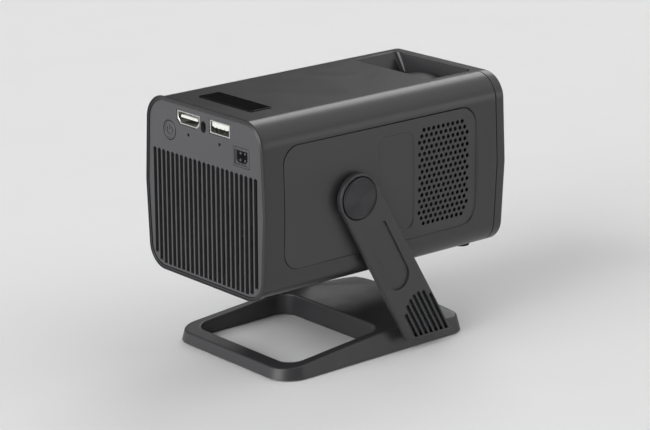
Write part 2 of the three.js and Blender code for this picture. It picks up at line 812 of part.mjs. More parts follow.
function rearSlots() {
  const holes = [];
  for (let i = -slotsEachSide; i <= slotsEachSide; i += 1) {
    const y = slotPitch * i;
    const low = rearSlotBottom(y);
    const half = slotWidth / 2;
    holes.push([
      new THREE.Vector2(y - half, low),
      new THREE.Vector2(y + half, low),
      new THREE.Vector2(y + half, slotTopZ - slotPointHeight),
      new THREE.Vector2(y, slotTopZ),
      new THREE.Vector2(y - half, slotTopZ - slotPointHeight),
    ]);
  }
  return holes;
}

function hdmiOutline(inset) {
  const half = hdmiHalfWidth - inset;
  const low = hdmiBottomZ + inset;
  const high = hdmiBottomZ + hdmiHeight - inset;
  return [
    new THREE.Vector2(hdmiMidY - half + hdmiBevel, low),
    new THREE.Vector2(hdmiMidY + half - hdmiBevel, low),
    new THREE.Vector2(hdmiMidY + half, low + hdmiBevel),
    new THREE.Vector2(hdmiMidY + half, high),
    new THREE.Vector2(hdmiMidY - half, high),
    new THREE.Vector2(hdmiMidY - half, low + hdmiBevel),
  ];
}

function rectangle(u0, u1, v0, v1) {
  return [
    new THREE.Vector2(u0, v0),
    new THREE.Vector2(u1, v0),
    new THREE.Vector2(u1, v1),
    new THREE.Vector2(u0, v1),
  ];
}

function irOutline(grow) {
  const half = irWindowHalfWidth + grow;
  const tall = irWindowHalfHeight + grow;
  return roundedBox(-half, half, irWindowZ - tall, irWindowZ + tall, half, smallCornerSteps);
}

function rearPanel() {
  const holes = rearSlots();
  holes.push(hdmiOutline(-fit));
  holes.push(rectangle(usbMidY - usbHalfWidth - fit, usbMidY + usbHalfWidth + fit,
    usbBottomZ - fit, usbBottomZ + usbHeight + fit));
  holes.push(rectangle(inletMidY - inletHalfWidth - fit, inletMidY + inletHalfWidth + fit,
    inletBottomZ - fit, inletBottomZ + inletHeight + fit));
  holes.push(irOutline(fit));
  holes.push(circle(buttonY, buttonZ, buttonRadius + fit, mediumSides));
  holes.push(circle(hdmiMidY, pinholeZ, pinholeRadius, tinySides));
  holes.push(circle(usbMidY, pinholeZ, pinholeRadius, tinySides));
  return holes.reduce(
    (panel, hole) => panel.subtract(slabX(hole, -overrun, rearPanelThickness + overrun)),
    slabX(bodyOutline(rimWall + fit), 0, rearPanelThickness));
}

piece(head, 'rear_panel', rearPanel(), panelPlastic).position.set(rearPanelX, 0, 0);

// Sockets
const socketRearX = rearPanelX + socketFaceSink;

function socketShell(outline, inner, depth) {
  return slabX(outline, 0, depth).subtract(slabX(inner, -overrun, depth - socketBackWall));
}

piece(head, 'hdmi_shell', socketShell(hdmiOutline(0), hdmiOutline(hdmiWall), hdmiDepth), steel)
  .position.set(socketRearX, 0, 0);
const hdmiTongueZ = hdmiBottomZ + hdmiHeight / 2;
piece(head, 'hdmi_tongue', block(hdmiTongueSink, hdmiDepth - socketBackWall - fit,
  -hdmiTongueHalfWidth, hdmiTongueHalfWidth, 0, hdmiTongueThickness), blackPlastic)
  .position.set(socketRearX, hdmiMidY, hdmiTongueZ);

const usbOuter = rectangle(usbMidY - usbHalfWidth, usbMidY + usbHalfWidth,
  usbBottomZ, usbBottomZ + usbHeight);
const usbInner = rectangle(usbMidY - usbHalfWidth + usbWall, usbMidY + usbHalfWidth - usbWall,
  usbBottomZ + usbWall, usbBottomZ + usbHeight - usbWall);
piece(head, 'usb_shell', socketShell(usbOuter, usbInner, usbDepth), steel)
  .position.set(socketRearX, 0, 0);
const usbTongueZ = usbBottomZ + usbHeight - usbWall - fit - usbTongueThickness;
piece(head, 'usb_tongue', block(usbTongueSink, usbDepth - socketBackWall - fit,
  -usbTongueHalfWidth, usbTongueHalfWidth, 0, usbTongueThickness), whitePlastic)
  .position.set(socketRearX, usbMidY, usbTongueZ);

function powerInlet() {
  const outer = rectangle(-inletHalfWidth, inletHalfWidth, 0, inletHeight);
  const socket = [
    new THREE.Vector2(inletWallLow - inletHalfWidth, inletWall),
    new THREE.Vector2(inletHalfWidth - inletWallLow, inletWall),
    new THREE.Vector2(inletHalfWidth - inletWall, inletHeight - inletWall),
    new THREE.Vector2(inletWall - inletHalfWidth, inletHeight - inletWall),
  ];
  let inlet = slabX(outer, 0, inletDepth).subtract(slabX(socket, -overrun, inletSocketDepth));
  for (const across of [-inletPinOffset, inletPinOffset]) {
    for (const up of [-inletPinOffset, inletPinOffset]) {
      const middle = inletHeight / 2 + up;
      inlet = inlet.add(block(inletPinSink, inletDepth - inletWall,
        across - inletPinHalf, across + inletPinHalf, middle - inletPinHalf, middle + inletPinHalf));
    }
  }
  return inlet;
}

piece(head, 'power_inlet', powerInlet(), blackPlastic).position.set(socketRearX, inletMidY, inletBottomZ);
piece(head, 'ir_window', slabX(irOutline(0), -irWindowProud, irWindowLength - irWindowProud), glossBlack)
  .position.set(rearPanelX, 0, 0);

// Main board
const boardOutline = rectangle(boardRearX, boardFrontX, -boardHalfWidth, boardHalfWidth);
piece(head, 'main_board', slabZ(boardOutline, 0, boardThickness), boardGreen)
  .position.set(0, 0, boardBottomZ);

// Power button and its switch
const buttonFaceX = rearPanelX - buttonProud;
const flangeX = buttonProud + rearPanelThickness + fit;
const buttonProfile = [
  [0, 0],
  [0, buttonRadius - buttonEdge],
  [buttonEdge, buttonRadius],
  [flangeX, buttonRadius],
  [flangeX, buttonRadius + buttonFlange],
  [flangeX + buttonFlangeThickness, buttonRadius + buttonFlange],
  [flangeX + buttonFlangeThickness, buttonStemRadius],
  [flangeX + buttonFlangeThickness + buttonStemLength, buttonStemRadius],
  [flangeX + buttonFlangeThickness + buttonStemLength, 0],
];
piece(head, 'power_button', turnedX(buttonProfile, mediumSides), shellPlastic)
  .position.set(buttonFaceX, buttonY, buttonZ);
const switchX = buttonFaceX + flangeX + buttonFlangeThickness + buttonStemLength + buttonTravel + fit;
piece(head, 'power_switch', block(0, switchDepth, -switchHalfWidth, switchHalfWidth, -switchHeight, 0),
  blackPlastic).position.set(switchX, buttonY, boardBottomZ - fit);

// Fan
const fanMidZ = shellFloorZ + fit + fanSize / 2;

function fanFrame() {
  const half = fanSize / 2;
  const fanScrewOffset = half - fanScrewInset;
  const holes = [circle(0, 0, fanBoreRadius, roundSides).reverse()];
  for (const y of [-fanScrewOffset, fanScrewOffset]) {
    for (const z of [-fanScrewOffset, fanScrewOffset]) {
      holes.push(circle(y, z, fanScrewRadius, tinySides).reverse());
    }
  }
  const outline = roundedBox(-half, half, -half, half, fanCornerRadius, smallCornerSteps);
  let frame = slabX(outline, 0, fanDepth, holes);
  frame = frame.add(rod(axisX, fanCupRadius, 0, fanCupDepth, 0, 0, mediumSides));
  for (let i = 0; i < fanStrutCount; i += 1) {
    const strut = new THREE.BoxGeometry(fanCupDepth, fanStrutWidth, fanBoreRadius)
      .translate(fanCupDepth / 2, 0, fanBoreRadius / 2 + fanCupRadius / 2)
      .rotateX(Math.PI / fanStrutCount + 2 * Math.PI * i / fanStrutCount);
    frame = frame.add(solidOf(strut).intersect(slabX(
      roundedBox(-half, half, -half, half, fanCornerRadius, smallCornerSteps), 0, fanDepth)));
  }
  return frame;
}

function fanRotor() {
  let rotor = rod(axisX, rotorHubRadius, 0, rotorDepth, 0, 0, mediumSides);
  const reach = rotorTipRadius - rotorHubRadius + bladeRoot;
  const limit = rod(axisX, rotorTipRadius, 0, rotorDepth, 0, 0, roundSides);
  for (let i = 0; i < bladeCount; i += 1) {
    const blade = new THREE.BoxGeometry(bladeThickness, bladeSpan, reach)
      .rotateZ(bladeTilt)
      .translate(rotorDepth / 2, 0, rotorHubRadius - bladeRoot + reach / 2)
      .rotateX(2 * Math.PI * i / bladeCount);
    rotor = rotor.add(solidOf(blade).intersect(limit));
  }
  return rotor;
}

piece(head, 'fan_frame', fanFrame(), blackPlastic).position.set(fanRearX, 0, fanMidZ);
piece(head, 'fan_rotor', fanRotor(), blackPlastic)
  .position.set(fanRearX + fanCupDepth + fit, 0, fanMidZ);

// Heat sink and lamp
function heatSink() {
  const finPitch = (2 * sinkHalfWidth - sinkFinThickness) / (sinkFinCount - 1);
  let sink = block(0, sinkBaseThickness, -sinkHalfWidth, sinkHalfWidth, -sinkHalfHeight, sinkHalfHeight);
  for (let i = 0; i < sinkFinCount; i += 1) {
    const y = -sinkHalfWidth + finPitch * i;
    sink = sink.add(block(-sinkFinLength, overrun, y, y + sinkFinThickness, -sinkHalfHeight, sinkHalfHeight));
  }
  return sink;
}

piece(head, 'heat_sink', heatSink(), aluminium).position.set(sinkX, 0, lensAxisZ);
const ledHalf = housingHalfHeight - ledBoardMargin;
piece(head, 'led_board', block(0, ledBoardThickness, -ledHalf, ledHalf, -ledHalf, ledHalf), whitePlastic)
  .position.set(ledBoardX, 0, lensAxisZ);
const chipHalf = reflectorSmallRadius * ledThroatShare;
piece(head, 'led_emitter', block(0, ledThickness, -chipHalf, chipHalf, -chipHalf, chipHalf), phosphor)
  .position.set(ledBoardX + ledBoardThickness + fit, 0, lensAxisZ);

// Reflector and condenser lens
const reflectorProfile = [
  [0, reflectorSmallRadius],
  [reflectorFrontX - reflectorRearX, reflectorLargeRadius - reflectorWall],
  [reflectorFrontX - reflectorRearX, reflectorLargeRadius],
  [reflectorFlange, reflectorSmallRadius + 2 * reflectorWall],
  [reflectorFlange, reflectorLargeRadius],
  [0, reflectorLargeRadius],
  [0, reflectorSmallRadius],
];
piece(head, 'led_reflector', turnedX(reflectorProfile, mediumSides), steel)
  .position.set(reflectorRearX, 0, lensAxisZ);

function lensProfile(radius, rim, rearBulge, frontBulge) {
  const profile = [];
  for (let i = 0; i <= lensSteps; i += 1) {
    const share = i / lensSteps;
    profile.push([-rearBulge * (1 - share * share), radius * share]);
  }
  for (let i = lensSteps; i >= 0; i -= 1) {
    const share = i / lensSteps;
    profile.push([rim + frontBulge * (1 - share * share), radius * share]);
  }
  return profile;
}

piece(head, 'condenser_lens', turnedX(lensProfile(condenserRadius, condenserRim, 0,
  housingLength * condenserBulgeShare),
  mediumSides), clearGlass).position.set(condenserX + fit, 0, lensAxisZ);

// Light path housing and the plates in it
function opticalHousing() {
  const outer = rectangle(-housingHalfWidth, housingHalfWidth, -housingHalfHeight, housingHalfHeight);
  const inner = rectangle(housingWall - housingHalfWidth, housingHalfWidth - housingWall,
    housingWall - housingHalfHeight, housingHalfHeight - housingWall);
  let housing = slabX(outer, housingRearX, housingFrontX)
    .subtract(slabX(inner, housingRearX - overrun, housingFrontX + overrun));
  const floor = shellFloorZ + fit - lensAxisZ;
  for (const x of [housingRearX + housingLegInset, housingFrontX - housingLegInset - housingLegLength]) {
    housing = housing.add(block(x, x + housingLegLength, -housingLegWidth / 2, housingLegWidth / 2,
      floor, housingWall - housingHalfHeight));
  }
  const seat = circle(0, 0, condenserRadius + fit, mediumSides).reverse();
  const wall = slabX(inner, condenserX, condenserX + condenserRim, [seat]);
  return housing.add(wall);
}

piece(head, 'optical_housing', opticalHousing(), blackPlastic).position.set(0, 0, lensAxisZ);

function screenPlate(thickness) {
  const halfY = housingHalfWidth - housingWall - fit;
  const halfZ = housingHalfHeight - housingWall - fit;
  return block(0, thickness, -halfY, halfY, -halfZ, halfZ);
}

piece(head, 'rear_fresnel', screenPlate(screenPlateThickness), clearGlass)
  .position.set(rearFresnelX, 0, lensAxisZ);
piece(head, 'lcd_panel', screenPlate(lcdThickness), lcdGlass).position.set(lcdX, 0, lensAxisZ);
piece(head, 'front_fresnel', screenPlate(screenPlateThickness), clearGlass)
  .position.set(frontFresnelX, 0, lensAxisZ);

// Lens holder
function lensHolder() {
  const plateX = housingFrontX + fit;
  const outer = rectangle(-housingHalfWidth, housingHalfWidth, -housingHalfHeight, housingHalfHeight);
  const sleeve = circle(0, 0, barrelRadius + fit + holderWall, roundSides);
  return slabX(outer, plateX, plateX + holderPlateThickness)
    .add(slabX(sleeve, plateX, holderFrontX))
    .subtract(rod(axisX, barrelRadius + fit, plateX - overrun, holderFrontX + overrun, 0, 0, roundSides));
}

piece(head, 'lens_holder', lensHolder(), blackPlastic).position.set(0, 0, lensAxisZ);

// Lens barrel and lenses
const barrelBore = barrelRadius - barrelWall;
const barrelProfile = [
  [0, barrelBore - barrelLip],
  [0, barrelRadius],
  [barrelFrontX - barrelRearX, barrelRadius],
  [barrelFrontX - barrelRearX, barrelBore],
  [barrelLip, barrelBore],
  [barrelLip, barrelBore - barrelLip],
  [0, barrelBore - barrelLip],
];
const lensUnit = new THREE.Group();
lensUnit.name = 'lens_unit';
lensUnit.position.set(0, 0, lensAxisZ);
head.add(lensUnit);
piece(lensUnit, 'lens_barrel', turnedX(barrelProfile, roundSides), blackPlastic)
  .position.set(barrelRearX, 0, 0);
piece(lensUnit, 'front_lens', turnedX(lensProfile(lensRadius, frontLensRim, -frontLensHollow,
  frontLensBulge), mediumSides), clearGlass).position.set(frontLensX, 0, 0);
piece(lensUnit, 'rear_lens', turnedX(lensProfile(lensRadius, rearLensRim, rearLensBulge, 0),
  mediumSides), clearGlass).position.set(rearLensX, 0, 0);

// Focus ring
const ringBore = barrelRadius + fit;
const webFromX = (ringWidth - ringWebThickness) / 2;
const webToX = (ringWidth + ringWebThickness) / 2;
const ringProfile = [
  [0, ringBore],
  [0, ringBore + ringHubThickness],
  [webFromX, ringBore + ringHubThickness],
  [webFromX, ringRadius - ringRimThickness],
  [0, ringRadius - ringRimThickness],
  [0, ringRadius - ringEdge],
  [ringEdge, ringRadius],
  [ringWidth - ringEdge, ringRadius],
  [ringWidth, ringRadius - ringEdge],
  [ringWidth, ringRadius - ringRimThickness],
  [webToX, ringRadius - ringRimThickness],
  [webToX, ringBore + ringHubThickness],
  [ringWidth, ringBore + ringHubThickness],
  [ringWidth, ringBore],
  [0, ringBore],
];
piece(head, 'focus_ring', turnedX(ringProfile, gripSides), blackPlastic)
  .position.set(ringRearX, 0, lensAxisZ);

// Speakers
function speaker(side) {
  const halfHeight = (panelTopZ - panelBottomZ) / 2 - speakerMargin;
  const outline = roundedBox(holeFieldX - speakerHalfLength, holeFieldX + speakerHalfLength,
    holeFieldZ - halfHeight, holeFieldZ + halfHeight, speakerCornerRadius, smallCornerSteps);
  const coneLength = speakerHalfLength * speakerConeShare;
  const coneHeight = halfHeight * speakerConeShare;
  const cone = roundedBox(holeFieldX - coneLength, holeFieldX + coneLength,
    holeFieldZ - coneHeight, holeFieldZ + coneHeight, speakerCornerRadius, smallCornerSteps);
  const outer = bodyHalfWidth - shellWall - fit;
  const inner = outer - speakerFlangeThickness;
  const magnetRadius = Math.min(speakerHalfLength * speakerMagnetShare, halfHeight * speakerMagnetShare,
    holeFieldX - housingFrontX - holderPlateThickness - 2 * fit);
  const magnet = slabY(circle(holeFieldX, holeFieldZ, magnetRadius, mediumSides),
    side, inner - speakerMagnetDepth, inner + speakerFlangeThickness / 4);
  return slabY(outline, side, inner, outer)
    .subtract(slabY(cone, side, inner + speakerFlangeThickness / 2, outer + overrun))
    .add(magnet);
}

for (const [name, side] of sides) {
  piece(head, `${name}_speaker`, speaker(side), blackPlastic);
}

// Tilt pivots
for (const [name, side] of sides) {
  const turn = side > 0 ? 0 : Math.PI;
  const washer = turnedY([
    [0, pinRadius + fit],
    [0, washerRadius],
    [washerThickness, washerRadius],
    [washerThickness, pinRadius + fit],
    [0, pinRadius + fit],
  ], mediumSides);
  const washerMesh = piece(head, `${name}_friction_washer`, washer, rubber);
  washerMesh.position.set(pivotX, side * (pocketFloorY + fit), pivotZ);
  washerMesh.rotation.x = turn;
  const half = pivotPlateSize / 2;
  const plate = slabY(roundedBox(-half, half, -half, half, pivotPlateCornerRadius, smallCornerSteps),
    side, 0, pivotPlateThickness, [circle(0, 0, pinRadius + fit, mediumSides).reverse()]);
  piece(head, `${name}_pivot_plate`, plate, steel)
    .position.set(pivotX, side * (bodyHalfWidth - shellWall - fit - pivotPlateThickness), pivotZ);
  const headY = armOuterY + capProud - capThickness - fit - pinHeadThickness;
  const tipY = bodyHalfWidth - shellWall - fit - pivotPlateThickness;
  const pin = turnedY([
    [0, 0],
    [0, pinRadius],
    [headY - tipY, pinRadius],
    [headY - tipY, pinHeadRadius],
    [headY - tipY + pinHeadThickness, pinHeadRadius],
    [headY - tipY + pinHeadThickness, 0],
  ], mediumSides);
  const pinMesh = piece(head, `${name}_pivot_pin`, pin, darkSteel);
  pinMesh.position.set(pivotX, side * tipY, pivotZ);
  pinMesh.rotation.x = turn;
}

// Arms
function armPoint(along, across) {
  return new THREE.Vector2(pivotX + along * leanSin + across * leanCos,
    pivotZ - along * leanCos + across * leanSin);
}

function footAlong(across, footZ) {
  return (pivotZ - footZ + across * leanSin) / leanCos;
}

function armOutline() {
  const end = arc(0, 0, armEndRadius, 0, Math.PI, 2 * cornerSteps);
  const rounded = end.map((p) => armPoint(-p.y, p.x));
  return [
    armPoint(footAlong(-armRearAcross, armFootZ), -armRearAcross),
    armPoint(footAlong(armFrontAcrossFoot, armFootZ), armFrontAcrossFoot),
    ...rounded,
  ];
}

function recessOutline() {
  const quarter = Math.PI / 2;
  const low = recessBottomAlong - recessHalfWidth;
  const high = recessTopAlong + recessCornerRadius;
  const in1 = recessHalfWidth - recessCornerRadius;
  return [
    ...arc(0, low, recessHalfWidth, Math.PI, 0, 2 * cornerSteps),
    ...arc(in1, high, recessCornerRadius, 0, -quarter, smallCornerSteps),
    ...arc(-in1, high, recessCornerRadius, -quarter, -2 * quarter, smallCornerSteps),
  ].map((p) => armPoint(p.y, p.x)).reverse();
}

function grooveOutline(index) {
  const across = grooveFirstAcross + groovePitch * index;
  const half = grooveWidth / 2;
  const off = across - grooveArchAcross;
  const top = grooveArchTopAlong + off * off / (2 * grooveArchRadius);
  return [
    armPoint(footAlong(across - half, grooveEndZ), across - half),
    armPoint(footAlong(across + half, grooveEndZ), across + half),
    armPoint(top + half, across + half),
    armPoint(top, across),
    armPoint(top + half, across - half),
  ];
}

function arm(side) {
  let solid = slabY(armOutline(), side, armInnerY, armOuterY);
  const face = armOuterY + overrun;
  const capFloor = armOuterY + capProud - capThickness - fit;
  const headFloor = capFloor - pinHeadThickness - fit;
  solid = solid.subtract(slabY(recessOutline(), side, armOuterY - recessDepth, face));
  for (let i = 0; i < grooveCount; i += 1) {
    solid = solid.subtract(slabY(grooveOutline(i), side, armOuterY - grooveDepth, face));
  }
  solid = solid.subtract(slabY(circle(pivotX, pivotZ, capRadius + fit, roundSides), side, capFloor, face));
  solid = solid.subtract(slabY(circle(pivotX, pivotZ, pinHeadRadius + fit, mediumSides),
    side, headFloor, face));
  solid = solid.subtract(slabY(circle(pivotX, pivotZ, pinRadius + fit, mediumSides),
    side, armInnerY - overrun, face));
  const tenonInner = baseHalfWidth - tenonLength;
  solid = solid.add(slabY(rectangle(tenonRearX, tenonFrontX, tenonBottomZ + fit, tenonTopZ - fit),
    side, tenonInner, armInnerY + overrun)
    .intersect(slabY(rectangle(tenonRearX, tenonFrontX, armFootZ, tenonTopZ), side, armInnerY, face)
      .add(slabY(rectangle(tenonRearX, tenonFrontX, 0, tenonTopZ), side, 0, armInnerY))));
  for (const x of armScrewPlaces) {
    solid = solid.subtract(rod(axisZ, armScrewRadius + fit, tenonBottomZ - overrun,
      tenonTopZ - fit - overrun, x, side * armScrewY, smallSides));
  }
  return solid;
}

const armScrewPlaces = [tenonRearX + armScrewInset, tenonFrontX - armScrewInset];
const armScrewY = baseHalfWidth - armScrewFromFace;

function hubCap() {
  return turnedY([
    [0, 0],
    [0, capRadius],
    [capThickness - capEdge, capRadius],
    [capThickness, capRadius - capEdge],
    [capThickness, 0],
  ], roundSides);
}

for (const [name, side] of sides) {
  piece(stand, `${name}_arm`, arm(side), standPlastic);
  const cap = piece(stand, `${name}_hub_cap`, hubCap(), darkSteel);
  cap.position.set(pivotX, side * (armOuterY + capProud - capThickness), pivotZ);
  cap.rotation.x = side > 0 ? 0 : Math.PI;
}

// Stand base
function noseArc() {
  const points = [];
  for (let i = 1; i <= noseSteps; i += 1) {
    const angle = Math.PI / 2 * i / noseSteps;
    points.push(new THREE.Vector2(baseCrestX + (baseFrontX - baseCrestX) * Math.sin(angle),
      baseBottomZ + (baseCrestZ - baseBottomZ) * Math.cos(angle)));
  }
  return points;
}

function basePlan(inset) {
  const quarter = Math.PI / 2;
  const rear = baseRearCornerRadius;
  const front = baseFrontCornerRadius;
  const y = baseHalfWidth;
  return [
    ...arc(baseFrontX - front, front - y, front - inset, -quarter, 0, cornerSteps),
    ...arc(baseFrontX - front, y - front, front - inset, 0, quarter, cornerSteps),
    ...arc(baseRearX + rear, y - rear, rear - inset, quarter, 2 * quarter, cornerSteps),
    ...arc(baseRearX + rear, rear - y, rear - inset, 2 * quarter, 3 * quarter, cornerSteps),
  ];
}

function standBase() {
  const profile = [
    new THREE.Vector2(baseRearX, baseBottomZ),
    new THREE.Vector2(baseRearX, baseRearTopZ),
    new THREE.Vector2(windowFrontX, baseSlopeEndTopZ),
    new THREE.Vector2(baseCrestX, baseCrestZ),
    ...noseArc(),
  ].reverse();
  const shoulderY = baseHalfWidth * crownShoulderShare;
  const middleY = baseHalfWidth * crownMidShare;
  const crown = [
    new THREE.Vector2(-baseHalfWidth - overrun, -crownReach / 2),
    new THREE.Vector2(baseHalfWidth + overrun, -crownReach / 2),
    new THREE.Vector2(baseHalfWidth + overrun, crownEdgeZ - baseCrestZ),
    new THREE.Vector2(baseHalfWidth, crownEdgeZ - baseCrestZ),
    new THREE.Vector2(shoulderY, crownShoulderZ - baseCrestZ),
    new THREE.Vector2(middleY, crownMidZ - baseCrestZ),
    new THREE.Vector2(0, 0),
    new THREE.Vector2(-middleY, crownMidZ - baseCrestZ),
    new THREE.Vector2(-shoulderY, crownShoulderZ - baseCrestZ),
    new THREE.Vector2(-baseHalfWidth, crownEdgeZ - baseCrestZ),
    new THREE.Vector2(-baseHalfWidth - overrun, crownEdgeZ - baseCrestZ),
  ];
  const crownBar = extruded(crown, 2 * crownReach).applyMatrix4(towardsX)
    .translate(-crownReach, 0, 0)
    .rotateY(crownFall)
    .translate(baseCrestX, 0, baseCrestZ);
  const blankTopZ = baseCrestZ + overrun;
  const draft = (blankTopZ - baseBottomZ) * baseDraftShare;
  let base = taperedSlab(basePlan(0), basePlan(draft), baseBottomZ, blankTopZ)
    .intersect(slabY(profile, 1, -baseHalfWidth, baseHalfWidth))
    .intersect(solidOf(crownBar));
  base = base.subtract(slabZ(roundedBox(windowRearX, windowFrontX, -windowHalfWidth, windowHalfWidth,
    windowCornerRadius, cornerSteps), -overrun, baseCrestZ + overrun));
  for (const [, side] of sides) {
    base = base.subtract(slabY(rectangle(tenonRearX - fit, tenonFrontX + fit, tenonBottomZ, tenonTopZ),
      side, baseHalfWidth - tenonLength - fit, baseHalfWidth + overrun));
    for (const x of armScrewPlaces) {
      base = base.subtract(rod(axisZ, armScrewRadius + fit, -overrun, tenonBottomZ + overrun,
        x, side * armScrewY, smallSides));
      base = base.subtract(rod(axisZ, armScrewHeadRadius + fit, -overrun,
        baseBottomZ + fit + armScrewHeadThickness + fit, x, side * armScrewY, smallSides));
    }
  }
  for (const [x, y] of baseFootPlaces) {
    base = base.subtract(rod(axisZ, baseFootRadius + fit, -overrun, baseBottomZ + baseFootSeat + fit,
      x, y, mediumSides));
  }
  return base;
}

const baseFootY = baseHalfWidth - baseFootSideInset;
const baseFootPlaces = [
  [baseRearX + baseFootRearInset, baseFootY],
  [baseRearX + baseFootRearInset, -baseFootY],
  [baseFrontX - baseFootFrontInset, baseFootY],
  [baseFrontX - baseFootFrontInset, -baseFootY],
];

piece(stand, 'stand_base', standBase(), standPlastic);

for (const [i, [x, y]] of baseFootPlaces.entries()) {
  const foot = rod(axisZ, baseFootRadius, 0, baseBottomZ + baseFootSeat, 0, 0, mediumSides);
  piece(stand, `base_foot_${i + 1}`, foot, rubber).position.set(x, y, 0);
}

// Arm screws
for (const [name, side] of sides) {
  armScrewPlaces.forEach((x, i) => {
    const screw = rod(axisZ, armScrewHeadRadius, 0, armScrewHeadThickness, 0, 0, smallSides)
      .add(rod(axisZ, armScrewRadius, 0, armScrewLength, 0, 0, smallSides));
    piece(stand, `${name}_arm_screw_${i + 1}`, screw, darkSteel)
      .position.set(x, side * armScrewY, baseBottomZ + fit);
  });
}

export default group;
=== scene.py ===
import math

import bmesh
import bpy
from bpy.props import FloatProperty, FloatVectorProperty, IntProperty, PointerProperty
from mathutils import Matrix, Vector


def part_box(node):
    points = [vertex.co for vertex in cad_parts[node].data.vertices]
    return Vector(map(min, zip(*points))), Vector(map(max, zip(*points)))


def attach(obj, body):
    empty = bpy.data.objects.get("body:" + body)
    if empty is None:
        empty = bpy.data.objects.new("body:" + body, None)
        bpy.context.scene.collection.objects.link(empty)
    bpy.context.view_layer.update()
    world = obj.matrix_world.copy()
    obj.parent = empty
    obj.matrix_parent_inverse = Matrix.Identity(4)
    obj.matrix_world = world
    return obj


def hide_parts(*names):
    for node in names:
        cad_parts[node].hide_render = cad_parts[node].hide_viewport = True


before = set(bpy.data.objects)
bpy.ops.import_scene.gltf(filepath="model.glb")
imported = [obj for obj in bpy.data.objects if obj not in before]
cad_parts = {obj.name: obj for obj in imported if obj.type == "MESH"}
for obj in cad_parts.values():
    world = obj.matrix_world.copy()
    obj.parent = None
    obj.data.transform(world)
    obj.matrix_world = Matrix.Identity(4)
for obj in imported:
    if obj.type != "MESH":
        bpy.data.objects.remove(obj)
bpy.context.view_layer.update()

bl_info = {
    "name": "Portable projector",
    "version": (1, 0, 0),
    "blender": (4, 5, 0),
    "location": "View3D > Sidebar > Projector",
    "description": "Builds the visible pieces of a portable projector on a tilting stand around its CAD frame",
    "category": "Object",
}

MM = 0.001
TURN = 2 * math.pi
QUARTER = TURN / 4
SIDES = (("left", 1), ("right", -1))

# Places read from the CAD frame, in metres
SHELL_LOW, SHELL_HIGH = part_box("main_shell")
PANEL_LOW, PANEL_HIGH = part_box("left_side_panel")
REAR_LOW, REAR_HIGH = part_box("rear_panel")
PLATE_LOW, PLATE_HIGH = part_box("name_plate")
FRONT_LOW, FRONT_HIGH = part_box("front_panel")
RING_LOW, RING_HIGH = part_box("focus_ring")
CAP_LOW, CAP_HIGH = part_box("left_hub_cap")
BASE_LOW, BASE_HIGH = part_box("stand_base")
PIVOT_X = (CAP_LOW.x + CAP_HIGH.x) / 2
PIVOT_Z = (CAP_LOW.z + CAP_HIGH.z) / 2
AXIS_Z = (RING_LOW.z + RING_HIGH.z) / 2
REAR_X = SHELL_LOW.x
SEAM_X = SHELL_HIGH.x
FRONT_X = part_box("front_bezel")[1].x
TOP_Z = SHELL_HIGH.z
BOTTOM_Z = SHELL_LOW.z
SIDE_Y = SHELL_HIGH.y
ARM_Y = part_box("left_arm")[1].y

FIT = 0.3 * MM  # clearance round a seated piece
OVERRUN = 1 * MM  # how far a cutter reaches past what it cuts


# Sizes and colours
def length(name, description, millimetres):
    return FloatProperty(
        name=name, description=description, default=millimetres * MM, min=0, unit="LENGTH", subtype="DISTANCE")


def linear(hex_value):
    """Linear RGBA of an sRGB hex colour such as #4a4a4b"""
    channels = [int(hex_value[i:i + 2], 16) / 255 for i in (1, 3, 5)]
    return [c / 12.92 if c <= 0.04045 else ((c + 0.055) / 1.055) ** 2.4 for c in channels] + [1]


def colour(name, description, hex_value):
    return FloatVectorProperty(
        name=name, description=description, default=linear(hex_value), size=4, min=0, max=1, subtype="COLOR")


class ProjectorSizes(bpy.types.PropertyGroup):
    """Edge and relief sizes of the visible pieces"""

    crease_rise: length("Side crease rise", "How far the middle of a side stands out past its corners", 1.45)
    top_radius: length("Top corner radius", "Radius of the two long top edges of the body", 11.5)
    bottom_radius: length("Bottom corner radius", "Radius of the two long bottom edges of the body", 10.5)
    wall: length("Shell wall", "Wall of the body shell", 2.6)
    rim_wall: length("Rear rim wall", "Wall of the rim that stands round the rear panel", 1.8)
    rim_edge: length("Rim edge radius", "Rounding of the edges of the rear rim", 0.65)
    bezel_edge: length("Bezel edge radius", "Rounding of the front edge of the bezel", 1.3)
    panel_radius: length("Side panel corner radius", "Corner radius of the side panels", 8)
    panel_edge: length("Side panel edge", "Rounding of the edges of the side panels", 0.15)
    hole_radius: length("Sound hole radius", "Radius of one sound hole", 0.92)
    slot_width: length("Vent slot width", "Width of one slot of the rear vent", 2.15)
    arm_edge: length("Arm edge radius", "Rounding of the outer edge of the arms", 0.8)
    base_edge: length("Base edge radius", "Rounding of the top edge of the stand base", 0.7)
    window_edge: length("Base window edge", "Rounding of the upper edge of the window in the base", 0.9)
    corner_steps: IntProperty(name="Corner steps", description="Facets in each large corner", default=14, min=3)


